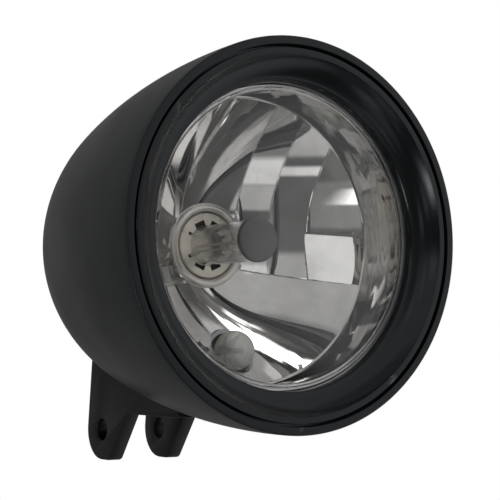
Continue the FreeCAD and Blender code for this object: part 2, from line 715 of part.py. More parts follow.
def spun(outline):
    """Solid of revolution about the Y axis from points (depth, radius) and ready-made edges."""
    edges = []
    here = None
    for item in outline + [outline[0]]:
        if isinstance(item, tuple):
            there = FreeCAD.Vector(0, item[0], item[1])
            if here is not None and here.distanceToPoint(there) > 1e-7:
                edges.append(Part.makeLine(here, there))
        else:
            first, last = item.Vertexes[0].Point, item.Vertexes[-1].Point
            if here.distanceToPoint(first) > here.distanceToPoint(last):
                first, last = last, first
            if here.distanceToPoint(first) > 1e-7:
                edges.append(Part.makeLine(here, first))
            edges.append(item)
            there = last
        here = there
    face = Part.Face(Part.Wire(edges))
    return face.revolve(FreeCAD.Vector(0, 0, 0), FreeCAD.Vector(0, 1, 0), 360)


def upright_box(low, high, front, back):
    """Box between two (x, z) corners and two depths."""
    corner = FreeCAD.Vector(low[0], front, low[1])
    return Part.makeBox(high[0] - low[0], back - front, high[1] - low[1], corner)


def strip_hollow(inner, outer):
    """Hollow of an upright facet: a parabola at its inner side, drawn out straight to its outer side."""
    spread = 4 * measure("bowl_focus")
    reach = measure("bowl_rim")
    top = measure("bowl_vertex") - inner ** 2 / spread
    end = top - reach ** 2 / spread
    curve = Part.BezierCurve()
    curve.setPoles([
        FreeCAD.Vector(inner, end, -reach),
        FreeCAD.Vector(inner, top + reach ** 2 / spread, 0),
        FreeCAD.Vector(inner, end, reach),
    ])
    chord = Part.makeLine(FreeCAD.Vector(inner, end, reach), FreeCAD.Vector(inner, end, -reach))
    face = Part.Face(Part.Wire([curve.toShape(), chord]))
    return face.extrude(FreeCAD.Vector(outer - inner, (inner ** 2 - outer ** 2) / spread, 0))


def window_hollow(side, front, margin):
    """Hollow of a flat square facet on one side. A margin makes it larger all round, for its back."""
    spread = 4 * measure("bowl_focus")
    inner = 3 * measure("strip_width")
    low = -measure("seam_drop") - margin
    high = measure("window_rise") + margin
    rise = math.tan(math.radians(measure("window_tilt")))
    run = math.tan(math.radians(measure("window_lean")))
    width = measure("bowl_rim") - inner + margin
    hinge = measure("bowl_vertex") - inner ** 2 / spread + margin * (1 + run)
    start = side * (inner - margin)
    corners = [
        FreeCAD.Vector(start, front, low),
        FreeCAD.Vector(start, front, high),
        FreeCAD.Vector(start, hinge + rise * high, high),
        FreeCAD.Vector(start, hinge + rise * low, low),
    ]
    face = Part.Face(Part.makePolygon(corners + corners[:1]))
    return face.extrude(FreeCAD.Vector(side * (width + margin), -run * (width + margin), 0))


def facet_hollows(front, back):
    """One hollow for each facet of the bowl, between two depths."""
    strip = measure("strip_width")
    edge = measure("bowl_rim")
    seam = -measure("seam_drop")
    window = measure("window_rise")
    bowl = spun([(front, 0.0), (measure("bowl_vertex"), 0.0), bowl_curve(front)])
    hollows = [
        bowl.common(upright_box((-strip, seam), (strip, edge), front, back)),
        bowl.common(upright_box((-edge, -edge), (edge, seam), front, back)),
    ]
    for side in (-1, 1):
        for number, bottom in ((1, seam), (2, seam), (3, window)):
            inner, outer = side * number * strip, side * (number + 1) * strip
            if number == 3:
                outer = side * edge
            low, high = sorted((inner, outer))
            box = upright_box((low, bottom), (high, edge), front, back)
            hollows.append(strip_hollow(inner, outer).common(box))
        hollows.append(window_hollow(side, front, 0.0))
    return hollows


def reflector():
    vertex = measure("bowl_vertex")
    spread = 4 * measure("bowl_focus")
    wall = measure("bowl_wall")
    rim = measure("bowl_rim")
    ledge = vertex - rim ** 2 / spread
    hole = measure("bulb_hole")
    neck = hole + measure("neck_wall")
    seat = measure("bulb_seat")
    throat = measure("collar_throat")
    collar = measure("collar_wall")
    front, back = measure("flange_front"), measure("flange_back")
    mouth = measure("collar_mouth")

    # Outside: flange, collar, dish and neck, filled in front
    dish = parabola(vertex + wall, spread, rim)
    neck_front = vertex + wall - neck ** 2 / spread
    inner_dish = dish.cut(Part.makeBox(1, 2 * vertex, neck, FreeCAD.Vector(-0.5, 0, 0))).Edges[0]
    outside = spun([
        (front, 0.0),
        (front, measure("lens_radius")),
        (back, measure("lens_radius")),
        (back, mouth + collar),
        (ledge, throat + collar),
        inner_dish,
        (neck_front, neck),
        (seat - measure("seat_rim_thickness"), neck),
        (seat - measure("seat_rim_thickness"), measure("seat_rim")),
        (seat, measure("seat_rim")),
        (seat, 0.0),
    ])
    boss_radius = measure("pilot_hole + pilot_boss_wall")
    boss_front, boss_end = measure("pilot_boss_front"), measure("pilot_boss_end")
    axis = FreeCAD.Vector(0, 1, 0)
    pilot = FreeCAD.Vector(0, boss_front, -measure("pilot_drop"))
    outside = outside.fuse(Part.makeCylinder(boss_radius, boss_end - boss_front, pilot, axis))
    rim_plane = FreeCAD.Vector(0, ledge, 0)
    collar_round = Part.makeCylinder(throat + collar, vertex - ledge, rim_plane, axis)
    for side in (-1, 1):
        window_block = window_hollow(side, ledge, measure("window_back"))
        outside = outside.fuse(window_block.common(collar_round))

    # Inside: collar first, then one hollow for each facet, held within the bowl's rim
    hollow = spun([(front, 0.0), (front, mouth), (ledge, throat), (ledge, 0.0)])
    bowl_edge = Part.makeCylinder(rim, vertex - ledge, rim_plane, axis)
    body = outside.cut(hollow)
    for facet in facet_hollows(ledge, vertex + wall):
        body = body.cut(facet.common(bowl_edge))

    # Bead round the mouth of the bulb hole, then the mouth, the hole behind it and the pilot's hole
    opening = measure("bead_opening")
    bead_out = opening + measure("bead_width")
    bead_foot = vertex - bead_out ** 2 / spread
    bead_front = bead_foot - measure("bead_height")
    crest = Part.Arc(
        FreeCAD.Vector(0, bead_foot, bead_out),
        FreeCAD.Vector(0, bead_front, (opening + bead_out) / 2),
        FreeCAD.Vector(0, bead_foot, opening),
    )
    body = body.fuse(spun([
        (bead_foot + wall / 2, opening),
        (bead_foot + wall / 2, bead_out),
        (bead_foot, bead_out),
        crest.toShape(),
    ]))
    body = body.cut(Part.makeCylinder(opening, 2 * seat, FreeCAD.Vector(0, front, 0), axis))
    hole_front = FreeCAD.Vector(0, seat - measure("bulb_hole_length"), 0)
    body = body.cut(Part.makeCylinder(hole, seat, hole_front, axis))
    pilot_drill = Part.makeCylinder(measure("pilot_hole"), boss_end, pilot, axis)
    body = body.cut(pilot_drill).removeSplitter()
    thing = doc.addObject("Part::Feature", "faceted_bowl")
    thing.Shape = body
    return place(thing, "0", "0", "0")


# Headlight bulb


def bulb_base():
    turning = turned("base_turning", [
        ("cup_front", "tube_radius + tube_clearance"),
        ("cup_front", "cup_radius - cup_edge"),
        ("cup_front + cup_edge", "cup_radius"),
        ("bulb_seat - locating_length", "cup_radius"),
        ("bulb_seat - locating_length", "bulb_hole - seat_clearance"),
        ("bulb_seat", "bulb_hole - seat_clearance"),
        ("bulb_seat", "base_flange"),
        ("plug_front", "base_flange"),
        ("plug_front", "0"),
        ("cup_bottom", "0"),
        ("cup_bottom", "tube_radius + tube_clearance"),
    ])
    slots = []
    for width, angle in (("notch_width", "notch_angle"), ("notch_wide", "notch_wide_angle")):
        for turn_to in (angle, "-" + angle, "180 - " + angle, "180 + " + angle):
            slots.append(cup_slot(width, turn_to))
    return cut("base_slotted", turning, join("cup_slots", slots))


def cup_slot(width, angle):
    """A slot that runs outwards from the glass, turned about the lamp's axis from the level line."""
    aside, along = "cos(%s)" % angle, "sin(%s)" % angle
    slot = doc.addObject("Part::Box", "cup_slot")
    for side, formula in (("Length", "notch_length"), ("Width", "2 * notch_depth"), ("Height", width)):
        slot.setExpression(side, bound(formula))
    turn_about = FreeCAD.Rotation(FreeCAD.Vector(0, 1, 0), -measure(angle))
    slot.Placement = FreeCAD.Placement(FreeCAD.Vector(), turn_about)
    return place(
        slot, "tube_radius * %s + %s / 2 * %s" % (aside, width, along), "cup_front - notch_depth",
        "tube_radius * %s - %s / 2 * %s" % (along, width, aside),
    )


def bulb_glass():
    return turned("tube", [
        ("cup_bottom", "tube_radius"),
        ("cup_bottom", "tube_radius - tube_wall"),
        ("tube_tip + tip_round", "tube_radius - tube_wall"),
        ("tube_tip + tube_wall", "tube_radius - tip_round", "tip_round - tube_wall", 1),
        ("tube_tip + tube_wall", "0"),
        ("tube_tip", "0"),
        ("tube_tip", "tube_radius - tip_round"),
        ("tube_tip + tip_round", "tube_radius", "tip_round", -1),
    ])


def bulb_glare_cap():
    return turned("tip_cap", [
        ("tube_tip - cap_thickness", "0"),
        ("tube_tip - cap_thickness", "cap_radius - cap_thickness / 2"),
        ("tube_tip - cap_thickness / 2", "cap_radius"),
        ("tube_tip + cap_skirt", "cap_radius"),
        ("tube_tip + cap_skirt", "tube_radius + cap_clearance"),
        ("tube_tip", "tube_radius + cap_clearance"),
        ("tube_tip", "0"),
    ])


def bulb_dip_shield():
    inner = "-(shield_radius - shield_wall)"
    return turned("dip_trough", [
        ("support_front", inner),
        ("support_front", "-shield_radius"),
        ("support_front + shield_length", "-shield_radius"),
        ("support_front + shield_length", inner),
    ], "shield_turn")


def bulb_filaments():
    return group("coils", [
        rod("coil", "filament_radius", "filament_length", "0", depth, "0")
        for depth in ("dip_filament", "main_filament")
    ])


def bulb_support_wires():
    places = (("support_offset", "0"), ("-support_offset", "0"), ("0", "-support_below"))
    return group("stays", [
        rod("stay", "support_radius", "cup_bottom - support_front", x, "support_front", height)
        for x, height in places
    ])


def bulb_insulator():
    return turned("plug", [
        ("plug_front", "0"),
        ("plug_front", "plug_radius"),
        ("plug_back - plug_edge", "plug_radius"),
        ("plug_back", "plug_radius - plug_edge"),
        ("plug_back", "0"),
    ])


def bulb_contacts():
    level = ("blade_width", "blade_length", "blade_thickness")
    upright = ("blade_thickness", "blade_length", "blade_width")
    middle = "-blade_width / 2"
    blades = [block("top_blade", level, middle, "plug_back", "blade_offset - blade_thickness / 2")]
    for x in ("blade_offset", "-blade_offset"):
        blades.append(block("side_blade", upright, x + " - blade_thickness / 2", "plug_back", middle))
    return group("blades", blades)


def bulb_spring_clip():
    body = new_body("clip")
    middle = "plug_front + clip_wire"
    path = draw(new_sketch(body, "XZ_Plane", "-(%s)" % middle), [
        ("-clip_radius", "-clip_leg"),
        ("-clip_radius", "0"),
        ("0", "clip_radius", "clip_radius", -1),
        ("clip_radius", "0", "clip_radius", -1),
        ("clip_radius", "-clip_leg"),
    ], closed=False)
    wire = draw_circle(new_sketch(body, "XY_Plane", "-clip_leg"), "-clip_radius", middle, "clip_wire")
    sweep = body.newObject("PartDesign::AdditivePipe", "clip_wire_sweep")
    sweep.Profile = wire
    sweep.Spine = path
    return body


def dust_boot():
    rim = "seat_rim + boot_clearance"
    hold = "plug_radius + boot_clearance"
    grip = "bulb_seat - seat_rim_thickness"
    return turned("boot", [
        (grip + " - boot_wall", "seat_rim - boot_lip"),
        (grip + " - boot_wall", rim + " + boot_wall"),
        ("boot_barrel", rim + " + boot_wall"),
        ("boot_waist", hold + " + boot_wall"),
        ("boot_waist + boot_cuff", hold + " + boot_wall"),
        ("boot_waist + boot_cuff", hold),
        ("boot_waist - boot_wall / 2", hold),
        ("boot_barrel - boot_wall / 2", rim),
        (grip, rim),
        (grip, "seat_rim - boot_lip"),
    ])


# Pilot lamp


def on_pilot_axis(body):
    body.setExpression("Placement.Base.z", bound("axis_height - pilot_drop"))
    return body


def pilot_grommet():
    inner = "holder_radius + pilot_slack"
    outer = "pilot_hole - pilot_slack"
    flange = "pilot_hole + pilot_boss_wall + pilot_flange_width"
    return on_pilot_axis(turned("pilot_sleeve", [
        ("holder_front", inner),
        ("holder_front", outer),
        ("pilot_boss_end", outer),
        ("pilot_boss_end", flange),
        ("pilot_boss_end + pilot_flange", flange),
        ("pilot_boss_end + pilot_flange", inner),
    ]))


def pilot_holder():
    socket = "pilot_neck + pilot_slack"
    seat = "pilot_boss_end + pilot_flange"
    flange = "pilot_hole + pilot_boss_wall"
    return on_pilot_axis(turned("pilot_socket", [
        ("holder_front", socket),
        ("holder_front", "holder_radius"),
        (seat, "holder_radius"),
        (seat, flange),
        (seat + " + holder_flange", flange),
        (seat + " + holder_flange", "holder_radius"),
        ("pilot_boss_end + holder_tail", "holder_radius"),
        ("pilot_boss_end + holder_tail", "0"),
        ("pilot_foot", "0"),
        ("pilot_foot", socket),
    ]))


def pilot_bulb():
    stem = "pilot_foot - pilot_stem"
    globe, neck = "pilot_radius", "pilot_neck"
    inner_globe, inner_neck = "(pilot_radius - pilot_glass)", "(pilot_neck - pilot_glass)"
    throat = "pilot_centre + sqrt(%s^2 - %s^2)"
    return on_pilot_axis(turned("pilot_globe", [
        ("pilot_tip", "0"),
        (throat % (globe, neck), neck, globe, -1),
        ("pilot_foot", neck),
        ("pilot_foot", "0"),
        (stem, "0"),
        (stem, inner_neck),
        (throat % (inner_globe, inner_neck), inner_neck),
        ("pilot_tip + pilot_glass", "0", inner_globe, 1),
    ]))


def pilot_filament():
    stem = "pilot_foot - pilot_stem"
    start = stem + " - pilot_wire_length"
    wires = [
        rod("pilot_stay", "pilot_wire", "pilot_wire_length", x, start, "-pilot_drop")
        for x in ("-pilot_wire_spread / 2", "pilot_wire_spread / 2")
    ]
    across = "pilot_wire_spread + 2 * pilot_wire"
    coil = rod("pilot_thread", "pilot_coil", across,
               "-(%s) / 2" % across, start + " - pilot_coil", "-pilot_drop", (1, 0, 0))
    return group("pilot_wires", wires + [coil])


# Cable inlet


def cable_grommet():
    neck = "inlet_radius - grommet_clearance"
    outer_face = "nose_x + sqrt(nose_radius^2 - inlet_radius^2)"
    inner_face = "nose_x + sqrt((nose_radius - shell_wall)^2 - grommet_flange^2)"
    return turned("inlet_sleeve", [
        (inner_face + " - grommet_lip", "grommet_bore"),
        (inner_face + " - grommet_lip", "grommet_flange"),
        (inner_face, "grommet_flange"),
        (inner_face, neck),
        ("shell_length", neck),
        ("shell_length", "grommet_flange"),
        ("shell_length + grommet_lip", "grommet_flange - grommet_taper"),
        ("shell_length + grommet_lip", "grommet_bore"),
    ])


def check_and_write():
    """Stop on any failed object or bad shape, then write one file for each piece."""
    failed = [thing.Name for thing in doc.Objects if {"Invalid", "Error"} & set(thing.State)]
    if failed:
        raise RuntimeError("failed objects: " + ", ".join(failed))
    for thing in nodes:
        if thing.Shape.isNull() or not thing.Shape.isValid() or not thing.Shape.Solids:
            raise RuntimeError("bad shape: " + thing.Label)
    os.makedirs("parts", exist_ok=True)
    for thing in nodes:
        thing.Shape.exportStep("parts/%s.step" % thing.Label)
        solids = thing.Shape.Solids
        print("%-20s %d solid(s) %10.1f mm3" % (thing.Label, len(solids), thing.Shape.Volume))


def main():
    fill_sheets()
    node("headlight_shell", headlight_shell())
    node("mount_fork", mount_fork(bullet("bullet", "0")))
    screws, washers = fork_fasteners()
    node("fork_screws", screws)
    node("fork_washers", washers)
    node("trim_ring", trim_ring())
    node("trim_ring_screw", ring_screw_form("ring_screw", "0", "0", "ring_screw_end"))
    node("lens", lens())
    node("lens_gasket", flat_ring(
        "gasket", "retainer_depth", "lens_front", "lens_radius - gasket_width", "lens_radius"))
    node("lens_sealant", flat_ring(
        "sealant", "lens_back", "flange_front", "lens_radius - sealant_width", "lens_radius"))
    node("reflector", reflector())
    node("retaining_ring", retaining_ring())
    node("bulb_base", bulb_base())
    node("bulb_glass", bulb_glass())
    node("bulb_glare_cap", bulb_glare_cap())
    node("bulb_dip_shield", bulb_dip_shield())
    node("bulb_filaments", bulb_filaments())
    node("bulb_support_wires", bulb_support_wires())
    node("bulb_insulator", bulb_insulator())
    node("bulb_contacts", bulb_contacts())
    node("bulb_spring_clip", bulb_spring_clip())
    node("dust_boot", dust_boot())
    node("pilot_grommet", pilot_grommet())
    node("pilot_holder", pilot_holder())
    node("pilot_bulb", pilot_bulb())
    node("pilot_filament", pilot_filament())
    node("cable_grommet", cable_grommet())
    doc.recompute()
    check_and_write()


main()
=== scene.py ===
# %% [markdown]
# A motorcycle headlight in Blender. The solids come from the CAD model and keep their places. This lesson
# dresses them: smooth turned pieces stand for the ones that the eye rests on, and every piece gets a finish.
# Lamp pieces are drawn in millimetres as (depth behind the front lip, radius about the lamp's axis), the way
# a turner would read a drawing, and one matrix puts them into the frame.

# %% Frame
import math

import bmesh
import bpy
from mathutils import Matrix, Vector


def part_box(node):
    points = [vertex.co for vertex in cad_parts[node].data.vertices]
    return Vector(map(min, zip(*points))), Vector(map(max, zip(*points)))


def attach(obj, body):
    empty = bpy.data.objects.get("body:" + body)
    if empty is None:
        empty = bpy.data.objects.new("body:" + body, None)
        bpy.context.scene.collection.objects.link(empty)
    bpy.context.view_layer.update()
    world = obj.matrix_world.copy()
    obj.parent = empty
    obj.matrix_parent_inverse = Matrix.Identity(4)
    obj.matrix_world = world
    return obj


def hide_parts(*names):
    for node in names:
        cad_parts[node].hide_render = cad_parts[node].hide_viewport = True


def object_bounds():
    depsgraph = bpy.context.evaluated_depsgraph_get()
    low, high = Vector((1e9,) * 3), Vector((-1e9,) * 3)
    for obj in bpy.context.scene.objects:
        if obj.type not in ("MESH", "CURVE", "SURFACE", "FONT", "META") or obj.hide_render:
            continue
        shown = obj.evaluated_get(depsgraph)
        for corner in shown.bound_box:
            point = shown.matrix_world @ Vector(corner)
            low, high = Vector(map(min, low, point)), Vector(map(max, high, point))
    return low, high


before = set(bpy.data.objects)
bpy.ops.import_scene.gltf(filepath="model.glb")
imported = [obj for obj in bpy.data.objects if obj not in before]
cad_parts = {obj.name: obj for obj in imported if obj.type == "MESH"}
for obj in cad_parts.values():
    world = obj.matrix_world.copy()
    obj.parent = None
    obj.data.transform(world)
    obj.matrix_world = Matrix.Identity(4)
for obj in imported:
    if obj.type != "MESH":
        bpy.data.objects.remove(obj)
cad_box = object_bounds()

MM = 0.001
scene = bpy.context.scene
shell_low, shell_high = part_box("headlight_shell")
lip_y = shell_low.y
axis_z = (shell_low.z + shell_high.z) / 2
LAMP = Matrix.Translation((0, lip_y, axis_z)) @ Matrix.Scale(MM, 4)
RIM = (shell_high.x - shell_low.x) / 2 / MM
print("lip at y %.4f m, axis at z %.4f m, rim radius %.2f mm" % (lip_y, axis_z, RIM))

# %% [markdown]
# Most of the lamp was turned on a lathe, so most pieces are an outline that is spun round the lamp's axis.
# An outline is a list of corners, and a round stretch is an arc between two of them. Spin with use_merge
# closes the last step onto the first, and the normals are recalculated once the doubles on the axis are gone.

# %% Turning tools
ROUND_STEPS, BULB_STEPS, SCREW_STEPS = 224, 96, 48
SHARP = math.radians(32)
DOUBLES = 1e-4
MARK_SLACK = 0.05


def arc(start, end, radius, side, count=10):
    """Points of the shorter arc from start to end, without start. Side 1 has its centre on the left."""
    a, b = Vector(start), Vector(end)
    chord = b - a
    left = Vector((-chord.y, chord.x)).normalized()
    height = math.sqrt(max(radius ** 2 - chord.length_squared / 4, 0))
    centre = a + chord / 2 + left * (side * height)
    first = math.atan2(a.y - centre.y, a.x - centre.x)
    turn = math.atan2(b.y - centre.y, b.x - centre.x) - first
    turn = (turn + math.pi) % (2 * math.pi) - math.pi
    angles = [first + turn * step / count for step in range(1, count + 1)]
    return [(centre.x + radius * math.cos(t), centre.y + radius * math.sin(t)) for t in angles]


def spun(outline, steps=ROUND_STEPS, drop=0.0):
    """A bmesh turned from a closed outline, about an axis that lies drop below the lamp's own."""
    bm = bmesh.new()
    verts = [bm.verts.new((0, depth, radius)) for depth, radius in outline]
    edges = [bm.edges.new(pair) for pair in zip(verts, verts[1:] + verts[:1])]
    bmesh.ops.spin(
        bm, geom=verts + edges, cent=(0, 0, 0), axis=(0, 1, 0), angle=2 * math.pi, steps=steps,
        use_merge=True,
    )
    bmesh.ops.remove_doubles(bm, verts=bm.verts, dist=DOUBLES)
    bmesh.ops.recalc_face_normals(bm, faces=bm.faces)
    bmesh.ops.translate(bm, verts=bm.verts, vec=(0, 0, -drop))
    return bm


def scratch_object(bm):
    """A bmesh as an object for a moment, so that a modifier can work on it."""
    mesh = bpy.data.meshes.new("scratch")
    bm.to_mesh(mesh)
    bm.free()
    thing = bpy.data.objects.new("scratch", mesh)
    scene.collection.objects.link(thing)
    return thing


def combine(bm, tool, operation="DIFFERENCE"):
    """Cut a tool out of a body, or join it on, with a boolean. The result is a new bmesh."""
    body, other = scratch_object(bm), scratch_object(tool)
    modifier = body.modifiers.new("combine", "BOOLEAN")
    modifier.object = other
    modifier.operation = operation
    modifier.solver = "EXACT"
    result = bmesh.new()
    result.from_object(body, bpy.context.evaluated_depsgraph_get())
    for thing in (body, other):
        mesh = thing.data
        bpy.data.objects.remove(thing)
        bpy.data.meshes.remove(mesh)
    return result


def mark(bm, index, low, high, inner, outer):
    """Give another finish to the faces between two depths and two radii."""
    for face in bm.faces:
        middle = face.calc_center_median()
        if low < middle.y < high and inner < math.hypot(middle.x, middle.z) < outer:
            face.material_index = index


def smooth(bm, creases=()):
    """Smooth shading with the corners kept sharp, and some finer edges too."""
    for face in bm.faces:
        face.smooth = True
    for edge in bm.edges:
        edge.smooth = edge.calc_face_angle(0) < SHARP
    for edge in creases:
        edge.smooth = False


def piece(name, bm, finishes, slot, *nodes, place=LAMP, creases=()):
    """Make an object of a bmesh that was drawn in millimetres, and let it stand for CAD nodes."""
    bmesh.ops.transform(bm, matrix=place, verts=bm.verts)
    smooth(bm, creases)
    mesh = bpy.data.meshes.new(name)
    bm.to_mesh(mesh)
    bm.free()
    for material in finishes:
        mesh.materials.append(material)
    thing = bpy.data.objects.new(name, mesh)
    scene.collection.objects.link(thing)
    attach(thing, "root")
    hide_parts(*nodes)
    print("%s: %d faces" % (name, len(mesh.polygons)))


# %% [markdown]
# Effects that several finishes share are node groups. The first is the skin of sprayed paint: a slow wave,
# called orange peel, and a fine grain on top of it. The second is handling: cloudy patches that are a
# little duller or glossier, darker or paler than the rest. The third is a painted highlight: where the mesh
# has an outward edge, the paint is made a little paler, as a line of light along that edge. They only put
# out values, and each material has its own shader.

# %% Shared effects
PATCH_RANGE, MASK_RANGE = (0.3, 0.7), (0.35, 0.65)


def effect(name, inputs, outputs):
    """An empty node group with its sockets, and its two end nodes."""
    tree = bpy.data.node_groups.new(name, "ShaderNodeTree")
    for label, value in inputs:
        socket = tree.interface.new_socket(label, in_out="INPUT", socket_type="NodeSocketFloat")
        socket.default_value = value
    for label in outputs:
        tree.interface.new_socket(label, in_out="OUTPUT", socket_type="NodeSocketFloat")
    return tree, tree.nodes.new("NodeGroupInput"), tree.nodes.new("NodeGroupOutput")


def put(tree, socket, source):
    """Link a socket to another one, or give it a plain number."""
    if isinstance(source, (int, float)):
        socket.default_value = source
    else:
        tree.links.new(source, socket)


def math_node(tree, operation, first, second):
    """A Math node whose inputs are sockets or plain numbers."""
    node = tree.nodes.new("ShaderNodeMath")
    node.operation = operation
    put(tree, node.inputs[0], first)
    put(tree, node.inputs[1], second)
    return node.outputs[0]


def ramp(tree, value, low, high, to_low=0.0, to_high=1.0, soft=False):
    """A Map Range from (low, high) to (to_low, to_high), straight or with soft ends."""
    node = tree.nodes.new("ShaderNodeMapRange")
    if soft:
        node.interpolation_type = "SMOOTHSTEP"
    for label, source in zip(
        ("Value", "From Min", "From Max", "To Min", "To Max"), (value, low, high, to_low, to_high)
    ):
        put(tree, node.inputs[label], source)
    return node.outputs["Result"]


def noise(tree, scale, detail=2.0, stretch=None):
    """A noise over the object's own coordinates, which a stretch can squeeze or flatten."""
    place = tree.nodes.new("ShaderNodeTexCoord").outputs["Object"]
    if stretch is not None:
        mapping = tree.nodes.new("ShaderNodeMapping")
        mapping.inputs["Scale"].default_value = stretch
        tree.links.new(place, mapping.inputs["Vector"])
        place = mapping.outputs["Vector"]
    node = tree.nodes.new("ShaderNodeTexNoise")
    tree.links.new(place, node.inputs["Vector"])
    node.inputs["Detail"].default_value = detail
    put(tree, node.inputs["Scale"], scale)
    return node.outputs["Fac"]


def make_paint_skin():
    tree, start, end = effect(
        "paint_skin", [("Peel Scale", 420.0), ("Grain Scale", 2600.0), ("Grain Share", 0.35)], ["Height"]
    )
    peel = noise(tree, start.outputs["Peel Scale"])
    grain = noise(tree, start.outputs["Grain Scale"])
    fine = math_node(tree, "MULTIPLY", grain, start.outputs["Grain Share"])
    tree.links.new(math_node(tree, "ADD", peel, fine), end.inputs["Height"])
    return tree


def make_handling():
    tree, start, end = effect(
        "handling", [("Patch Scale", 26.0), ("Low", 0.3), ("High", 0.4)], ["Roughness", "Mask"]
    )
    patches = noise(tree, start.outputs["Patch Scale"], detail=5.0)
    rough = ramp(tree, patches, *PATCH_RANGE, start.outputs["Low"], start.outputs["High"])
    tree.links.new(rough, end.inputs["Roughness"])
    tree.links.new(ramp(tree, patches, *MASK_RANGE), end.inputs["Mask"])
    return tree


# Painted highlight: outward edges are made paler in colour, standing in for the line of light they catch.
def make_painted_edge_highlight():
    tree, start, end = effect("painted_edge_highlight", [("Start", 0.56), ("Full", 0.66), ("Scale", 300.0)], ["Mask"])
    pointed = tree.nodes.new("ShaderNodeNewGeometry").outputs["Pointiness"]
    edge = ramp(tree, pointed, start.outputs["Start"], start.outputs["Full"], soft=True)
    broken = ramp(tree, noise(tree, start.outputs["Scale"], detail=4.0), *MASK_RANGE)
    tree.links.new(math_node(tree, "MULTIPLY", edge, broken), end.inputs["Mask"])
    return tree


paint_skin = make_paint_skin()
handling = make_handling()
painted_edge_highlight = make_painted_edge_highlight()
print("groups:", paint_skin.name, handling.name, painted_edge_highlight.name)

# %% [markdown]
# A finish is one Principled shader. Numbers that are the same all over sit on its sockets. The groups feed
# the colour, the roughness and, through a Bump node, the normal. Heights are in metres, as the part is.

# %% Finishes
CLOUD_TONE = 0.82
# the paler grey of the painted edge highlight
EDGE_HIGHLIGHT_GREY = (0.08, 0.08, 0.08, 1.0)
COOL_SHEEN = (0.88, 0.95, 1.0, 1.0)
# a Mix node has sockets for each type of data, and these are the ones for colours
MIX_FIRST, MIX_SECOND, MIX_RESULT = 6, 7, 2


def shade(value):
    """Linear strength of a display value from 0 to 255."""
    part = value / 255
    return part / 12.92 if part <= 0.04045 else ((part + 0.055) / 1.055) ** 2.4


def colour(red, green, blue):
    return (shade(red), shade(green), shade(blue), 1.0)


def grouped(tree, group, **values):
    """A node of a shared group with its own values."""
    node = tree.nodes.new("ShaderNodeGroup")
    node.node_tree = group
    for label, value in values.items():
        node.inputs[label.replace("_", " ")].default_value = value
    return node


def mixed(tree, mask, first, second):
    """A colour that goes from first to second with a mask. First may be a socket."""
    node = tree.nodes.new("ShaderNodeMix")
    node.data_type = "RGBA"
    tree.links.new(mask, node.inputs["Factor"])
    for socket, source in ((node.inputs[MIX_FIRST], first), (node.inputs[MIX_SECOND], second)):
        if isinstance(source, tuple):
            socket.default_value = source
        else:
            tree.links.new(source, socket)
    return node.outputs[MIX_RESULT]


def add_bump(tree, height, distance):
    bump = tree.nodes.new("ShaderNodeBump")
    bump.inputs["Distance"].default_value = distance
    tree.links.new(height, bump.inputs["Height"])
    tree.links.new(bump.outputs["Normal"], tree.nodes["Principled BSDF"].inputs["Normal"])


def finish(name, base, rough, patch, skin=None, highlit_edges=False, **sockets):
    """A material. Rough is (low, high), patch its clouds' scale and skin (height, peel, grain, share)."""
    material = bpy.data.materials.new(name)
    material.use_nodes = True
    tree = material.node_tree
    shader = tree.nodes["Principled BSDF"]
    for label, value in sockets.items():
        shader.inputs[label.replace("_", " ")].default_value = value
    clouds = grouped(tree, handling, Patch_Scale=patch, Low=rough[0], High=rough[1])
    tree.links.new(clouds.outputs["Roughness"], shader.inputs["Roughness"])
    darker = tuple(part * CLOUD_TONE for part in base[:3]) + (1.0,)
    tone = mixed(tree, clouds.outputs["Mask"], darker, base)
    # painted highlight: outward edges are mixed towards a paler grey, as a line of light
    if highlit_edges:
        tone = mixed(tree, grouped(tree, painted_edge_highlight).outputs["Mask"], tone, EDGE_HIGHLIGHT_GREY)
    tree.links.new(tone, shader.inputs["Base Color"])
    if skin is not None:
        height, peel, grain, share = skin
        coat = grouped(tree, paint_skin, Peel_Scale=peel, Grain_Scale=grain, Grain_Share=share)
        add_bump(tree, coat.outputs["Height"], height)
    return material


def clear(name, base, rough, patch, ior, transmission=1.0):
    """A glass that lets light from the lamps reach what lies behind it."""
    material = finish(name, base, rough, patch, Transmission_Weight=transmission, IOR=ior)
    tree = material.node_tree
    path = tree.nodes.new("ShaderNodeLightPath")
    passing = tree.nodes.new("ShaderNodeBsdfTransparent")
    choice = tree.nodes.new("ShaderNodeMixShader")
    tree.links.new(path.outputs["Is Shadow Ray"], choice.inputs["Fac"])
    tree.links.new(tree.nodes["Principled BSDF"].outputs["BSDF"], choice.inputs[1])
    tree.links.new(passing.outputs["BSDF"], choice.inputs[2])
    tree.links.new(choice.outputs["Shader"], tree.nodes["Material Output"].inputs["Surface"])
    return material


satin_black = finish(
    "satin_black", colour(13, 14, 15), (0.34, 0.44), 30, (1.2e-5, 500, 2600, 0.2), highlit_edges=True,
    Specular_IOR_Level=0.5, Specular_Tint=COOL_SHEEN,
)
ring_black = finish(
    "ring_black", colour(10, 10, 11), (0.17, 0.25), 30, (6e-6, 420, 2600, 0.2), highlit_edges=True,
    Specular_IOR_Level=0.5, Specular_Tint=COOL_SHEEN,
)
fork_black = finish(
    "fork_black", colour(12, 12, 13), (0.38, 0.5), 34, (1.5e-5, 600, 2400, 0.3), highlit_edges=True,
    Specular_IOR_Level=0.35,
)
mirror = finish("mirror", (0.93, 0.92, 0.905, 1), (0.005, 0.03), 40, (4e-7, 130, 700, 0.1), Metallic=1.0)
lens_clear = clear("lens_clear", (1, 1, 1, 1), (0.0, 0.01), 22, 1.5)
bulb_clear = clear("bulb_clear", (1.0, 1.0, 0.98, 1), (0.01, 0.04), 60, 1.48, transmission=0.87)
pilot_haze = clear("pilot_haze", (0.97, 0.98, 0.94, 1), (0.01, 0.04), 80, 1.48, transmission=0.84)
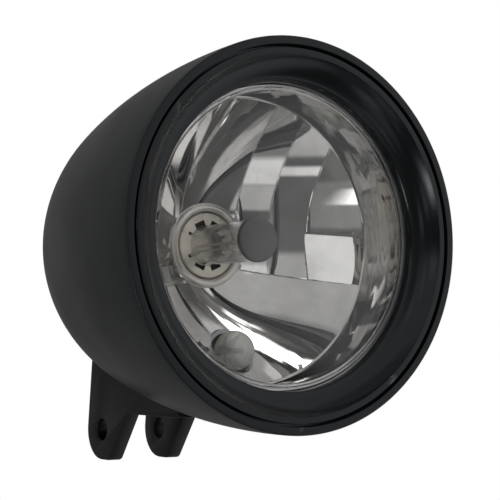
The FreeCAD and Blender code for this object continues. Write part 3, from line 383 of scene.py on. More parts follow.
bulb_metal = finish(
    "bulb_metal", colour(232, 226, 213), (0.25, 0.35), 150, (3e-6, 900, 3000, 0.3), Metallic=0.3
)
# painted shade for the walls and floors of the cup's slots
slot_painted_shade = finish("slot_painted_shade", colour(30, 27, 24), (0.6, 0.7), 150)
bead_satin = finish(
    "bead_satin", colour(246, 243, 236), (0.12, 0.2), 60, (2e-6, 300, 900, 0.2), Metallic=0.65
)
glare_grey = finish("glare_grey", colour(78, 77, 78), (0.5, 0.62), 150, (2e-5, 1500, 4000, 0.5))
tungsten = finish("tungsten", (0.42, 0.41, 0.40, 1), (0.35, 0.5), 300, Metallic=1.0)
steel = finish("steel", (0.58, 0.58, 0.57, 1), (0.28, 0.42), 120, (1e-5, 900, 2600, 0.4), Metallic=1.0)
black_steel = finish("black_steel", colour(30, 30, 31), (0.35, 0.5), 150, (1e-5, 900, 2600, 0.4))
brass = finish("brass", (0.66, 0.50, 0.24, 1), (0.28, 0.42), 200, Metallic=1.0)
insulator = finish("insulator", colour(176, 160, 128), (0.5, 0.65), 150, (2e-5, 900, 2600, 0.4))
rubber = finish("rubber", colour(24, 24, 24), (0.62, 0.78), 90, (4e-5, 900, 2600, 0.6))
bead_grey = finish("bead_grey", colour(168, 170, 172), (0.3, 0.45), 90)
print("%d finishes" % len(bpy.data.materials))

# %% [markdown]
# The collar in front of the bowl is metallised like the rest, but its surface is wavy and breaks what it
# mirrors into patches. A noise that is squeezed along the depth makes the waves, as a height for the normal.

# %% Finish of the collar
WAVE_SQUEEZE, WAVE_HEIGHT = (24.0, 170.0, 24.0), 1.6e-4

collar_rings = finish("collar_rings", (0.88, 0.87, 0.86, 1), (0.03, 0.07), 40, Metallic=1.0)
waves = noise(collar_rings.node_tree, 1.0, detail=1.0, stretch=WAVE_SQUEEZE)
add_bump(collar_rings.node_tree, waves, WAVE_HEIGHT)
print(collar_rings.name)

# %% [markdown]
# The CAD nodes that stay as they are only get a finish. Most of them are hidden by the shell.

# %% Finishes of the plain nodes
plain = {
    "fork_screws": black_steel, "fork_washers": steel, "lens_gasket": rubber, "lens_sealant": bead_grey,
    "retaining_ring": steel, "bulb_dip_shield": bulb_metal, "bulb_support_wires": bulb_metal,
    "bulb_insulator": insulator, "bulb_contacts": brass, "bulb_spring_clip": steel, "dust_boot": rubber,
    "pilot_grommet": bead_grey, "pilot_holder": black_steel, "pilot_filament": tungsten,
}
for name, material in plain.items():
    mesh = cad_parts[name].data
    mesh.materials.clear()
    mesh.materials.append(material)
print("plain nodes:", ", ".join(plain))

# %% [markdown]
# The shell is cast aluminium, turned outside and sprayed satin black. Three arcs make its flank, shoulder and
# rounded tip. They touch without a corner, so the reflection runs along the flank in one sweep. A subdivided
# cage would be softer at the lip, but arcs give the true radii. Under the lip a countersunk hole is cut for
# the screw that holds the trim ring.

# %% Shell
TIP, TAIL, FLANK, NOSE = 172.0, 72.0, 380.0, 58.725
LIP_EDGE, LIP_WIDTH, WALL, SEAT, INLET = 0.8, 3.65, 4.0, 22.0, 7.0
BORE = RIM - LIP_WIDTH
RING_SCREW_DEPTH, RING_SCREW_INSET, RING_SCREW, RING_SCREW_HEAD, RING_SCREW_SINK = 12.5, 0.3, 2.5, 4.6, 2.3
RING_SCREW_PLACE = Matrix.Translation((0, RING_SCREW_DEPTH, RING_SCREW_INSET - RIM))
HOLE_SLACK, HOLE_LENGTH, HOLE_OVERRUN = 0.3, 8.0, 2.0


def shell_arcs(inset):
    """Where flank, shoulder and nose meet, moved inwards, the nose's centre and the shoulder's radius."""
    flank = Vector((LIP_EDGE, RIM - FLANK))
    nose = Vector((TIP - NOSE, 0))
    reach = TIP - TAIL - LIP_EDGE
    out = Vector((reach / FLANK, math.sqrt(FLANK ** 2 - reach ** 2) / FLANK))
    meet = flank + out * FLANK
    lead = meet - nose
    shoulder_radius = (lead.length_squared - NOSE ** 2) / 2 / (lead.dot(out) - NOSE)
    shoulder = meet - out * shoulder_radius
    nose_out = (nose - shoulder).normalized()
    return meet - out * inset, nose + nose_out * (NOSE - inset), nose, shoulder_radius - inset


def skin_line(inset, start):
    """The outer or inner line of the shell from its front to the hole in the tip."""
    first, second, nose, shoulder = shell_arcs(inset)
    last = (nose.x + math.sqrt((NOSE - inset) ** 2 - INLET ** 2), INLET)
    line = [start] + arc(start, first, FLANK - inset, -1, count=24)
    line += arc(first, second, shoulder, -1, count=20)
    return line + arc(second, last, NOSE - inset, -1, count=20)


def shell_outline():
    edge = (0, RIM - LIP_EDGE)
    rim_edge = [(0, BORE), edge] + arc(edge, (LIP_EDGE, RIM), LIP_EDGE, -1, count=6)
    inner_start = RIM - FLANK + math.sqrt((FLANK - WALL) ** 2 - (SEAT - LIP_EDGE) ** 2)
    outer = skin_line(0, rim_edge[-1])
    inner = skin_line(WALL, (SEAT, inner_start))
    return rim_edge + outer[1:] + inner[::-1] + [(SEAT, BORE)]


def under_lip(outline):
    """A turning that stands upright under the lip, from (height, radius) corners."""
    bm = spun(outline, SCREW_STEPS)
    upright = RING_SCREW_PLACE @ Matrix.Rotation(math.pi / 2, 4, "X")
    bmesh.ops.transform(bm, matrix=upright, verts=bm.verts)
    return bm


def screw_line(slack, length):
    """Half outline of a countersunk screw or of its hole, from the top of the head inwards."""
    shank = RING_SCREW + slack
    foot = (RING_SCREW_HEAD - shank) * RING_SCREW_SINK / (RING_SCREW_HEAD - RING_SCREW)
    return [(0, 0), (0, RING_SCREW_HEAD), (foot, shank), (length, shank), (length, 0)]


mouth = [(-HOLE_OVERRUN, 0), (-HOLE_OVERRUN, RING_SCREW_HEAD)]
sink = under_lip(mouth + screw_line(HOLE_SLACK, HOLE_LENGTH)[1:])
drilled = combine(spun(shell_outline()), sink)
piece("shell_skin", drilled, [satin_black], "shell_paint", "headlight_shell")

# %% [markdown]
# The screw under the lip has a hexagon socket. Its head is turned, and a six-sided bar cuts the socket.

# %% Ring screw
SOCKET, SOCKET_SIDES, SOCKET_DEPTH, SCREW_LENGTH = 1.45, 6, 1.6, 10.7


def ring_screw_mesh():
    bm = under_lip(screw_line(0.0, SCREW_LENGTH))
    key = bmesh.new()
    bmesh.ops.create_cone(
        key, cap_ends=True, segments=SOCKET_SIDES, radius1=SOCKET, radius2=SOCKET, depth=2 * SOCKET_DEPTH,
        matrix=RING_SCREW_PLACE,
    )
    return combine(bm, key)


piece("ring_screw", ring_screw_mesh(), [black_steel], "black_steel", "trim_ring_screw")

# %% [markdown]
# The trim ring holds the glass in the shell. Its face is a flat land, a hollow dish and a rounded nose beside
# the glass, all turned from one bar. Its corners are rounded a little, so that each catches a line of light.

# %% Trim ring
RING, LAND, LAND_DEPTH = 82.05, 2.9, 0.6
DISH_RADIUS, DISH_DEPTH, NOSE_ROUND, OPENING, RETAINER = 16.0, 8.0, 1.6, 68.2, 12.0
RING_EDGE, POCKET, SKIRT, GROOVE = 0.4, 73.4, 83.2, 4.5


def trim_ring_outline():
    edge = (LAND_DEPTH, RING - RING_EDGE)
    turn = (LAND_DEPTH + RING_EDGE, RING)
    dish_start, dish_end = (LAND_DEPTH, RING - LAND), (DISH_DEPTH, OPENING + NOSE_ROUND)
    nose_end = (DISH_DEPTH + NOSE_ROUND, OPENING)
    line = [(GROOVE, SKIRT), (GROOVE, RING), turn] + arc(turn, edge, RING_EDGE, 1, count=5)
    line += [dish_start] + arc(dish_start, dish_end, DISH_RADIUS, -1, count=24)
    line += arc(dish_end, nose_end, NOSE_ROUND, 1, count=8)
    return line + [(RETAINER, OPENING), (RETAINER, POCKET), (SEAT, POCKET), (SEAT, SKIRT)]


piece("trim_ring_turned", spun(trim_ring_outline()), [ring_black], "ring_paint", "trim_ring")

# %% [markdown]
# The glass is a pressed dome with a flat edge that is clamped under the trim ring. Light bends at both of its
# surfaces, so it is a closed body with a true wall and not a single skin. Fine ribs, pressed into its back
# close to the edge, draw thin bright rings.

# %% Lens
LENS, DOME, LENS_FRONT, LENS_WALL, CROWN = 73.0, 69.0, 12.6, 4.0, 8.6
DOME_RADIUS = (DOME ** 2 + CROWN ** 2) / 2 / CROWN
RIBS, RIB_WIDTH, RIB_HEIGHT, RIB_STEPS, DOME_STEPS = (65.2, 66.6), 0.5, 0.5, 4, 48


def dome(radius):
    """Depth of the dome's front at a radius."""
    return LENS_FRONT - CROWN + DOME_RADIUS - math.sqrt(DOME_RADIUS ** 2 - radius ** 2)


def rib(radius):
    """Height of the ribs at a radius."""
    return sum(RIB_HEIGHT * max(0, 1 - ((radius - place) / RIB_WIDTH) ** 2) for place in RIBS)


def lens_outline():
    coarse = [DOME * step / DOME_STEPS for step in range(DOME_STEPS + 1)]
    offsets = [RIB_WIDTH * step / RIB_STEPS for step in range(-RIB_STEPS, RIB_STEPS + 1)]
    fine = [place + offset for place in RIBS for offset in offsets]
    inwards = sorted(coarse + fine, reverse=True)
    front = [(dome(radius), radius) for radius in coarse]
    back = [(dome(radius) + LENS_WALL + rib(radius), radius) for radius in inwards]
    return front + [(LENS_FRONT, LENS), (LENS_FRONT + LENS_WALL, LENS)] + back


piece("lens_glass", spun(lens_outline()), [lens_clear], "lens_glass", "lens")

# %% [markdown]
# The reflector is the piece that makes the lamp look like a lamp. Behind the glass a plain collar leads to a
# bowl. Its upper half is made of upright facets that are straight from side to side, and a flat square one on
# each side leans backwards. One spun bowl is cut a hair to both sides of every seam, and along the middle of
# those that stand up. Then each corner moves to the depth of the facet that it lies in, and the middle of
# such a seam is raised, so that it catches a line of light as the worn edge of a mould does.

# %% Reflector
FLANGE, FLANGE_BACK, COLLAR_MOUTH, COLLAR, COLLAR_WALL = 17.4, 18.9, 67.0, 65.4, 1.7
BOWL_RIM, VERTEX, SPREAD, BOWL_WALL, RIM_WALL = 64.8, 82.0, 105.0, 3.0, 10.0
STRIP, SEAM, SEAM_FALL, WINDOW, STEP = 15.2, -10.7, 0.166, 7.0, 0.12
WINDOW_RUN, WINDOW_RISE = math.tan(math.radians(35.0)), math.tan(math.radians(9.6))
OUTER_STRIP, RIDGE, RIDGE_RISE = 3, 0.32, 0.12
BEAD_IN, BEAD, BEAD_ROUND, NECK = 16.4, 20.2, 2.104, 21.0
BULB_HOLE, HOLE_FRONT, SEAT_DEPTH, SEAT_RIM, SEAT_WALL = 19.0, 83.6, 87.5, 24.5, 2.0
BACK_RADII = (NECK, 32.0, 44.0, 54.0, 60.0)
LEDGE = VERTEX - BOWL_RIM ** 2 / SPREAD
FACET_EDGE = math.radians(2.6)
REFLECTOR_STEPS, BOWL_ROWS = 192, 46
# a place is on a seam within CLOSE of it, and on the bowl within NEAR of its depth
CLOSE, NEAR, BOWL_SLACK, FACES_FRONT, RIM_MARGIN = 1e-3, 0.08, 0.01, -0.2, 0.2
STRIP_SLACK, CUT_SLACK = 1e-6, 1e-5


def bowl(radius):
    return VERTEX - radius ** 2 / SPREAD


def seam(x):
    """Height of the seam below the facets. On one side it falls towards the rim."""
    return SEAM - SEAM_FALL * max(x - STRIP, 0)


def facet_depth(x, z):
    """Depth of the faceted bowl at a place."""
    across = abs(x)
    if z < seam(x) or across < STRIP:
        return bowl(math.hypot(x, z))
    number = min(int(across / STRIP + STRIP_SLACK), OUTER_STRIP)
    inner = number * STRIP
    if number == OUTER_STRIP and z < WINDOW:
        return bowl(inner) - WINDOW_RUN * (across - inner) + WINDOW_RISE * z
    outer = BOWL_RIM if number == OUTER_STRIP else inner + STRIP
    return VERTEX - (z ** 2 + (inner + outer) * across - inner * outer) / SPREAD


def on_ridge(x, z):
    """True on the middle of an upright seam, or of the one below the facets."""
    across = abs(x)
    number = round(across / STRIP)
    upright = number > 0 and abs(across - number * STRIP) < CLOSE
    upright = upright and z > (WINDOW if number >= OUTER_STRIP else seam(x))
    return upright or (abs(z - seam(x)) < CLOSE and across > STRIP)


def reflector_outline():
    radii = [BOWL_RIM + (BEAD - BOWL_RIM) * step / BOWL_ROWS for step in range(BOWL_ROWS + 1)]
    foot = bowl(BEAD)
    line = [(FLANGE, LENS), (FLANGE, COLLAR_MOUTH), (LEDGE, COLLAR), (LEDGE, BOWL_RIM + STEP)]
    line += [(bowl(radius), radius) for radius in radii]
    line += arc((foot, BEAD), (foot, BEAD_IN), BEAD_ROUND, 1, count=14)
    line += [(HOLE_FRONT, BEAD_IN), (HOLE_FRONT, BULB_HOLE), (SEAT_DEPTH, BULB_HOLE)]
    line += [(SEAT_DEPTH, SEAT_RIM), (SEAT_DEPTH - SEAT_WALL, SEAT_RIM), (SEAT_DEPTH - SEAT_WALL, NECK)]
    for radius in BACK_RADII:
        share = (radius - NECK) / (BOWL_RIM - NECK)
        line.append((bowl(radius) + BOWL_WALL + (RIM_WALL - BOWL_WALL) * share ** 2, radius))
    line += [(LEDGE + RIM_WALL, COLLAR + COLLAR_WALL), (FLANGE_BACK, COLLAR_MOUTH + COLLAR_WALL)]
    return line + [(FLANGE_BACK, LENS)]


def in_bowl(place, margin=0.0):
    return BEAD + margin < math.hypot(place.x, place.z) < BOWL_RIM - margin


def cut_seam(bm, place, normal, hairs, side=0):
    """Cut the front of the bowl along a seam, at some distances from its middle, on one side or both."""
    for hair in hairs:
        fronts = [face for face in bm.faces if face.normal.y < FACES_FRONT]
        middles = [(face, face.calc_center_median()) for face in fronts]
        faces = [face for face, middle in middles if in_bowl(middle) and middle.x * side >= 0]
        geom = faces + list({v for f in faces for v in f.verts}) + list({e for f in faces for e in f.edges})
        level = Vector(place) + Vector(normal).normalized() * hair
        bmesh.ops.bisect_plane(bm, geom=geom, plane_co=level, plane_no=normal, dist=CUT_SLACK)


def cut_facets(bm):
    ridge, step = (-RIDGE, 0, RIDGE), (-STEP / 2, STEP / 2)
    for number in (-3, -2, -1, 1, 2, 3):
        cut_seam(bm, (number * STRIP, 0, 0), (1, 0, 0), ridge)
    cut_seam(bm, (0, 0, SEAM), (0, 0, 1), ridge, side=-1)
    cut_seam(bm, (STRIP, 0, SEAM), (SEAM_FALL, 0, 1), ridge, side=1)
    cut_seam(bm, (0, 0, WINDOW), (0, 0, 1), step)
    for vert in bm.verts:
        radius = math.hypot(vert.co.x, vert.co.z)
        on_bowl = abs(vert.co.y - bowl(radius)) < NEAR
        if on_bowl and BEAD - BOWL_SLACK <= radius <= BOWL_RIM + BOWL_SLACK:
            raised = RIDGE_RISE if on_ridge(vert.co.x, vert.co.z) else 0.0
            vert.co.y = facet_depth(vert.co.x, vert.co.z) - raised
    return bm


def facet_creases(bm):
    """Edges between facets, which stay sharp, apart from the rounded tops of the ridges."""
    creases = []
    for edge in bm.edges:
        ends = [vert.co for vert in edge.verts]
        if not in_bowl((ends[0] + ends[1]) / 2, RIM_MARGIN) or edge.calc_face_angle(0) < FACET_EDGE:
            continue
        if not all(on_ridge(end.x, end.z) for end in ends):
            creases.append(edge)
    return creases


# %% [markdown]
# The pilot lamp needs its own hole low in the bowl, in a boss behind it. The boss is a short bar with the
# bowl's hollow taken away, joined on from behind, and then the hole is drilled through both.

# %% Pilot hole and reflector piece
PILOT_DROP, PILOT_HOLE, PILOT_BOSS, PILOT_BOSS_END, BOSS_START = 50.0, 10.0, 11.8, 73.44, 44.0
BOSS_SINK, DRILL_OVERRUN, PILOT_STEPS, HOLLOW_STEPS, HOLLOW_ROWS = 0.8, 10.0, 72, 128, 40


def bar(radius, front, back):
    """A round bar on the pilot lamp's axis."""
    return spun([(front, 0), (front, radius), (back, radius), (back, 0)], PILOT_STEPS, PILOT_DROP)


def reflector_mesh():
    bm = cut_facets(spun(reflector_outline(), REFLECTOR_STEPS))
    radii = [BOWL_RIM * step / HOLLOW_ROWS for step in range(HOLLOW_ROWS + 1)]
    front, back = BOSS_START - DRILL_OVERRUN, PILOT_BOSS_END + DRILL_OVERRUN
    hollow = [(front, 0)] + [(bowl(radius) + BOSS_SINK, radius) for radius in radii] + [(front, BOWL_RIM)]
    boss = combine(bar(PILOT_BOSS, BOSS_START, PILOT_BOSS_END), spun(hollow, HOLLOW_STEPS))
    bm = combine(bm, boss, "UNION")
    bm = combine(bm, bar(PILOT_HOLE, front, back))
    mark(bm, 1, FLANGE, LEDGE - MARK_SLACK, COLLAR - MARK_SLACK, COLLAR_MOUTH)
    mark(bm, 2, bowl(BEAD) - BEAD_ROUND, HOLE_FRONT, BEAD_IN - MARK_SLACK, BEAD - MARK_SLACK)
    return bm


reflector = reflector_mesh()
finishes = [mirror, collar_rings, bead_satin]
piece(
    "reflector_facets", reflector, finishes, "mirror_coat", "reflector", creases=facet_creases(reflector)
)

# %% [markdown]
# The bulb stands on the axis. A metal cup holds the glass tube, and a dark cap on the end of the glass keeps
# stray light down. Eight slots, four wide and four narrow, are cut into the cup round the foot of the glass.
# Their walls and floors get a dark finish, which is painted shade.

# %% Bulb
CUP, CUP_FRONT, CUP_FLOOR, CUP_EDGE = 15.5, 78.0, 84.0, 0.7
LOCATING, LOCATING_LENGTH, BASE_FLANGE, BASE_THICKNESS = 18.8, 3.0, 21.5, 1.2
TUBE, TUBE_WALL, TUBE_TIP, TIP_ROUND, TUBE_SLACK = 9.4, 1.0, 36.2, 3.0, 0.3
CAP, CAP_WALL, CAP_FRONT, CAP_SKIRT, CAP_EDGE = 10.3, 0.75, 35.0, 37.2, 0.6
SLOTS, SLOT_LENGTH, SLOT_DEPTH = ((28.0, 1.6), (66.0, 5.6)), 2.6, 2.0


def bulb_base_outline():
    bore = TUBE + TUBE_SLACK
    edge = (CUP_FRONT, CUP - CUP_EDGE)
    line = [(CUP_FLOOR, 0), (CUP_FLOOR, bore), (CUP_FRONT, bore), edge]
    line += arc(edge, (CUP_FRONT + CUP_EDGE, CUP), CUP_EDGE, -1, count=5)
    shoulder, rear = SEAT_DEPTH - LOCATING_LENGTH, SEAT_DEPTH + BASE_THICKNESS
    line += [(shoulder, CUP), (shoulder, LOCATING), (SEAT_DEPTH, LOCATING)]
    return line + [(SEAT_DEPTH, BASE_FLANGE), (rear, BASE_FLANGE), (rear, 0)]


def cup_slots():
    """Blocks for the slots, turned about the lamp's axis."""
    bm = bmesh.new()
    for angle, width in SLOTS:
        for turn in (angle, -angle, 180 - angle, 180 + angle):
            place = Matrix.Rotation(math.radians(-turn), 4, "Y")
            place @= Matrix.Translation((TUBE + SLOT_LENGTH / 2, CUP_FRONT, 0))
            place @= Matrix.Diagonal((SLOT_LENGTH, 2 * SLOT_DEPTH, width, 1))
            bmesh.ops.create_cube(bm, size=1, matrix=place)
    return bm


def bulb_tube_outline():
    inner = TUBE - TUBE_WALL
    outer_turn, inner_turn = (TUBE_TIP, TUBE - TIP_ROUND), (TUBE_TIP + TIP_ROUND, inner)
    inner_end = (TUBE_TIP + TUBE_WALL, TUBE - TIP_ROUND)
    line = [(TUBE_TIP, 0), outer_turn]
    line += arc(outer_turn, (TUBE_TIP + TIP_ROUND, TUBE), TIP_ROUND, -1, count=8)
    line += [(CUP_FLOOR, TUBE), (CUP_FLOOR, inner), inner_turn]
    line += arc(inner_turn, inner_end, TIP_ROUND - TUBE_WALL, 1, count=8)
    return line + [(TUBE_TIP + TUBE_WALL, 0)]


def glare_cap_outline():
    inner = CAP - CAP_WALL
    edge = (CAP_FRONT, CAP - CAP_EDGE)
    line = [(CAP_FRONT, 0), edge] + arc(edge, (CAP_FRONT + CAP_EDGE, CAP), CAP_EDGE, -1, count=5)
    return line + [(CAP_SKIRT, CAP), (CAP_SKIRT, inner), (TUBE_TIP, inner), (TUBE_TIP, 0)]


cup = combine(spun(bulb_base_outline(), BULB_STEPS), cup_slots())
# the slots' walls and floors get the painted shade
mark(cup, 1, CUP_FRONT + MARK_SLACK, CUP_FLOOR, TUBE + TUBE_SLACK + MARK_SLACK, CUP - CUP_EDGE)
piece("bulb_cup", cup, [bulb_metal, slot_painted_shade], "bulb_metal", "bulb_base")
piece("bulb_tube", spun(bulb_tube_outline(), BULB_STEPS), [bulb_clear], "bulb_glass", "bulb_glass")
piece("glare_cap", spun(glare_cap_outline(), BULB_STEPS), [glare_grey], "glare_paint", "bulb_glare_cap")

# %% [markdown]
# A filament is a coil of tungsten wire. Spin makes it too: a small ring that moves along the axis with every
# step leaves a helix behind.

# %% Filaments
COIL, COIL_WIRE, COIL_SIDES, COIL_LENGTH, COIL_TURNS, COIL_STEPS = 0.55, 0.15, 6, 5.5, 7, 14
FILAMENTS = (54.0, 61.5)


def add_coil(bm, depth):
    """Add a helix along the lamp's axis that starts at a depth."""
    ring = bmesh.ops.create_circle(bm, segments=COIL_SIDES, radius=COIL_WIRE)["verts"]
    bmesh.ops.rotate(bm, verts=ring, cent=(0, 0, 0), matrix=Matrix.Rotation(math.pi / 2, 3, "Y"))
    bmesh.ops.translate(bm, verts=ring, vec=(0, depth + COIL_WIRE, COIL))
    wire = ring + list({edge for vert in ring for edge in vert.link_edges})
    steps = COIL_STEPS * COIL_TURNS
    bmesh.ops.spin(
        bm, geom=wire, cent=(0, 0, 0), axis=(0, 1, 0), angle=2 * math.pi * COIL_TURNS, steps=steps,
        dvec=(0, (COIL_LENGTH - 2 * COIL_WIRE) / steps, 0),
    )


coils = bmesh.new()
for depth in FILAMENTS:
    add_coil(coils, depth)
bmesh.ops.holes_fill(coils, edges=coils.edges, sides=COIL_SIDES)
bmesh.ops.recalc_face_normals(coils, faces=coils.faces)
piece("filament_coils", coils, [tungsten], "filament", "bulb_filaments")

# %% [markdown]
# The pilot lamp is a small globe of hazy glass low in the bowl, turned about an axis of its own.

# %% Pilot lamp
PILOT, PILOT_NECK, PILOT_CENTRE, PILOT_FOOT, PILOT_WALL, PILOT_STEM = 9.3, 6.0, 54.99, 71.44, 0.8, 62.44


def globe_line(radius, neck):
    """The globe from its tip to its neck."""
    tip, throat = (PILOT_CENTRE - radius, 0), (PILOT_CENTRE + math.sqrt(radius ** 2 - neck ** 2), neck)
    return [tip] + arc(tip, throat, radius, -1, count=28)


def pilot_outline():
    inner_neck = PILOT_NECK - PILOT_WALL
    inner = globe_line(PILOT - PILOT_WALL, inner_neck)
    stem = [(PILOT_FOOT, PILOT_NECK), (PILOT_FOOT, 0), (PILOT_STEM, 0), (PILOT_STEM, inner_neck)]
    return globe_line(PILOT, PILOT_NECK) + stem + inner[::-1]


globe = spun(pilot_outline(), PILOT_STEPS, PILOT_DROP)
piece("pilot_globe", globe, [pilot_haze], "bulb_glass", "pilot_bulb")

# %% [markdown]
# The fork is milled, so it has flat faces with small broken edges. A copy of the CAD mesh is merged, its flat
# faces are joined into one each, and its corners get a narrow bevel that catches the light. The grommet at
# the rear inlet is soft rubber, so its merged copy gets no bevel.

# %% Fork
PIVOT = Matrix.Scale(MM, 4)
BROKEN_EDGE, CAD_DOUBLES = 0.5, 1e-3
FLAT, CORNER = math.radians(0.5), math.radians(40)


def cad_copy(node):
    """A merged copy of a CAD node's mesh, in millimetres about the pivot."""
    bm = bmesh.new()
    bm.from_mesh(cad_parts[node].data)
    bmesh.ops.scale(bm, vec=(1 / MM,) * 3, verts=bm.verts)
    bmesh.ops.remove_doubles(bm, verts=bm.verts, dist=CAD_DOUBLES)
    return bm


def fork_mesh():
    bm = cad_copy("mount_fork")
    bmesh.ops.dissolve_limit(bm, angle_limit=FLAT, verts=bm.verts, edges=bm.edges)
    corners = [edge for edge in bm.edges if edge.calc_face_angle(0) > CORNER]
    bmesh.ops.bevel(
        bm, geom=corners, offset=BROKEN_EDGE, offset_type="OFFSET", segments=2, profile=0.5, affect="EDGES",
        material=-1,
    )
    return bm


piece("fork_milled", fork_mesh(), [fork_black], "fork_paint", "mount_fork", place=PIVOT)
grommet = cad_copy("cable_grommet")
piece("inlet_grommet", grommet, [rubber], "black_rubber", "cable_grommet", place=PIVOT)

# %% [markdown]
# The studio is a room with a pale wall in front of the lamp, a dark table under it and some bright panels. It
# is painted on the world, because the reflector shows nothing but the room. Each panel lies between two
# azimuths and two elevations, in degrees seen from the lamp. Only the camera sees plain white instead.

# %% Studio
ROOM = 0.25
# azimuth from and to, elevation from and to, softness of the edges, strength
PANELS = (
    (-180, 180, -90, -8, 10, 0.20),
    (52, 118, -66, -5, 8, 0.55),
    (-85, 75, -12, 58, 3, 0.46),
    (-85, 45, -58, 9, 4, 0.07),
    (-62, -50, -36, -8, 2, 0.22),
    (-40, -28, -52.5, -47.5, 1.2, 0.80),
    (-60, -20, -90, -58, 1.5, 0.48),
    (-14, 10, -61, -46, 2, 0.78),
    (-16, 10, -46, -28, 2, 0.48),
    (2, 17, -24, -17.5, 2, 0.95),
    (-25, -16, -7, 1, 2, 1.0),
    (-46, -36.8, -19, -8, 0.4, 1.1),
    (-85, -52, 1, 10, 1, 0.08),
    (-69, -49, 10.5, 20, 1, 0.80),
    (-14, -6, 20, 28, 2, 0.80),
    (-10, 12, 2, 21, 3, 0.17),
    (-34.8, -29, 14, 26, 1, 0.80),
    (-55, -51, -32, -23, 1.2, 3.0),
    (-77, -59.5, -30, -19, 1.5, 6.5),
    (22, 75, -18, 30, 6, 0.54),
)


def between(tree, value, low, high, soft):
    """A mask that is 1 between two angles in degrees."""
    low, high, soft = math.radians(low), math.radians(high), math.radians(soft)
    rising = ramp(tree, value, low - soft, low + soft, soft=True)
    falling = ramp(tree, value, high - soft, high + soft, 1.0, 0.0, soft=True)
    return math_node(tree, "MULTIPLY", rising, falling)


def choose(tree, mask, first, second):
    """A value that goes from first to second with a mask."""
    node = tree.nodes.new("ShaderNodeMix")
    for label, source in (("Factor", mask), ("A", first), ("B", second)):
        put(tree, node.inputs[label], source)
    return node.outputs["Result"]


def make_room():
    world = bpy.data.worlds.new("studio")
    scene.world = world
    world.use_nodes = True
    tree = world.node_tree
    axes = tree.nodes.new("ShaderNodeSeparateXYZ")
    tree.links.new(tree.nodes.new("ShaderNodeTexCoord").outputs["Generated"], axes.inputs["Vector"])
    ahead = math_node(tree, "MULTIPLY", axes.outputs["Y"], -1.0)
    azimuth = math_node(tree, "ARCTAN2", axes.outputs["X"], ahead)
    elevation = math_node(tree, "ARCSINE", axes.outputs["Z"], 0.0)
    light = ROOM
    for left, right, low, high, soft, strength in PANELS:
        across = between(tree, azimuth, left, right, soft)
        up = between(tree, elevation, low, high, soft)
        light = choose(tree, math_node(tree, "MULTIPLY", across, up), light, strength)
    path = tree.nodes.new("ShaderNodeLightPath")
    back = tree.nodes["Background"]
    back.inputs["Color"].default_value = (1, 1, 1, 1)
    tree.links.new(choose(tree, path.outputs["Is Camera Ray"], light, 1.0), back.inputs["Strength"])


make_room()
print("room with %d panels" % len(PANELS))

# %% [markdown]
# Two soft lamps lift the light to a plain level, at which a matt colour comes out about as it was written.
# One stands in front of the headlight on its +X side, one hangs above. They are kept out of the mirrors,
# which show the room alone.

# %% Lamps
LAMP_DISTANCE, LAMP_SIZE, LAMP_POWER = 1.3, 0.5, 10.0
LAMP_DIRECTIONS = {"front_box": (35, 25), "top_box": (180, 75)}


def softbox(name, azimuth, elevation):
    """A square lamp seen from the headlight at an azimuth and an elevation in degrees."""
    a, e = math.radians(azimuth), math.radians(elevation)
    away = Vector((math.sin(a) * math.cos(e), -math.cos(a) * math.cos(e), math.sin(e)))
    light = bpy.data.lights.new(name, "AREA")
    light.size, light.energy = LAMP_SIZE, LAMP_POWER
    box = bpy.data.objects.new(name, light)
    scene.collection.objects.link(box)
    box.location = Vector((0, lip_y / 2, axis_z)) + away * LAMP_DISTANCE
    box.rotation_euler = (-away).to_track_quat("-Z", "Y").to_euler()
    box.visible_camera = box.visible_glossy = box.visible_transmission = False


for name, (azimuth, elevation) in LAMP_DIRECTIONS.items():
    softbox(name, azimuth, elevation)
print("lamps:", ", ".join(LAMP_DIRECTIONS))

# %% [markdown]
# The floor is one round face of plain pale paint that takes the soft shadow of the lamp. A mask by the
# distance from its middle lets it fade into the white, and only the camera sees it, so that the reflector
# shows the dark table of the room. From below it is clear, so that it never hides the lamp.

# %% Floor
FLOOR_DROP, FLOOR_RADIUS, FLOOR_FULL, FLOOR_SIDES = 0.12, 0.75, 0.25, 96
FLOOR_TONE = (0.86, 0.86, 0.86, 1.0)


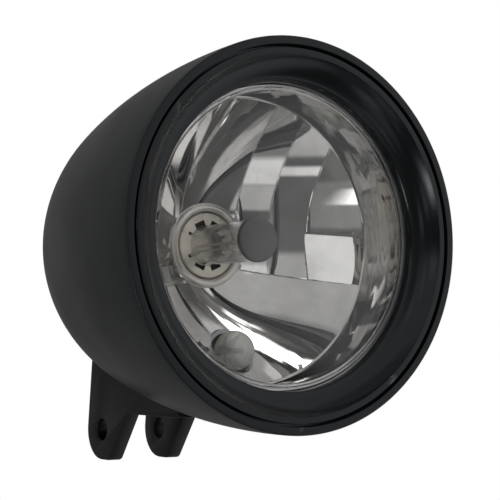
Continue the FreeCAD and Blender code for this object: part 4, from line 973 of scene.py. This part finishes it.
def make_floor():
    middle = Vector((0, lip_y / 2, cad_box[0].z - FLOOR_DROP))
    bm = bmesh.new()
    bmesh.ops.create_circle(
        bm, cap_ends=True, segments=FLOOR_SIDES, radius=FLOOR_RADIUS, matrix=Matrix.Translation(middle)
    )
    mesh = bpy.data.meshes.new("floor")
    bm.to_mesh(mesh)
    bm.free()
    floor = bpy.data.objects.new("floor", mesh)
    scene.collection.objects.link(floor)
    material = bpy.data.materials.new("floor_pale")
    material.use_nodes = True
    tree = material.node_tree
    paint = tree.nodes["Principled BSDF"]
    paint.inputs["Base Color"].default_value = FLOOR_TONE
    paint.inputs["Specular IOR Level"].default_value = 0.0
    distance = tree.nodes.new("ShaderNodeVectorMath")
    distance.operation = "DISTANCE"
    tree.links.new(tree.nodes.new("ShaderNodeTexCoord").outputs["Object"], distance.inputs[0])
    distance.inputs[1].default_value = middle
    fade = ramp(tree, distance.outputs["Value"], FLOOR_FULL, FLOOR_RADIUS, 1.0, 0.0, soft=True)
    below = tree.nodes.new("ShaderNodeNewGeometry").outputs["Backfacing"]
    from_above = math_node(tree, "MULTIPLY", fade, math_node(tree, "SUBTRACT", 1.0, below))
    camera_ray = tree.nodes.new("ShaderNodeLightPath").outputs["Is Camera Ray"]
    tree.links.new(math_node(tree, "MULTIPLY", from_above, camera_ray), paint.inputs["Alpha"])
    mesh.materials.append(material)


make_floor()
print("floor %.3f m below the part" % FLOOR_DROP)

# %% [markdown]
# The camera stands in front of the lamp on its -X side, a little below its axis, and looks slightly up, as in
# the photograph. Its place and focal length come from the ellipses of the lip and from the fork.

# %% Camera
CAMERA_PLACE = (-0.3607, -0.6447, 0.0383)
CAMERA_LOOK = (0.5541, 0.8293, 0.0727)
FOCAL_LENGTH, SENSOR = 102.45, 36.0
camera_data = bpy.data.cameras.new("camera")
camera_data.lens = FOCAL_LENGTH
camera_data.sensor_width = SENSOR
camera = bpy.data.objects.new("camera", camera_data)
scene.collection.objects.link(camera)
camera.location = CAMERA_PLACE
camera.rotation_euler = Vector(CAMERA_LOOK).to_track_quat("-Z", "Y").to_euler()
scene.camera = camera
scene.view_settings.view_transform = "Standard"
print("camera %.3f m from the lip" % (Vector(CAMERA_PLACE) - Vector((0, lip_y, axis_z))).length)
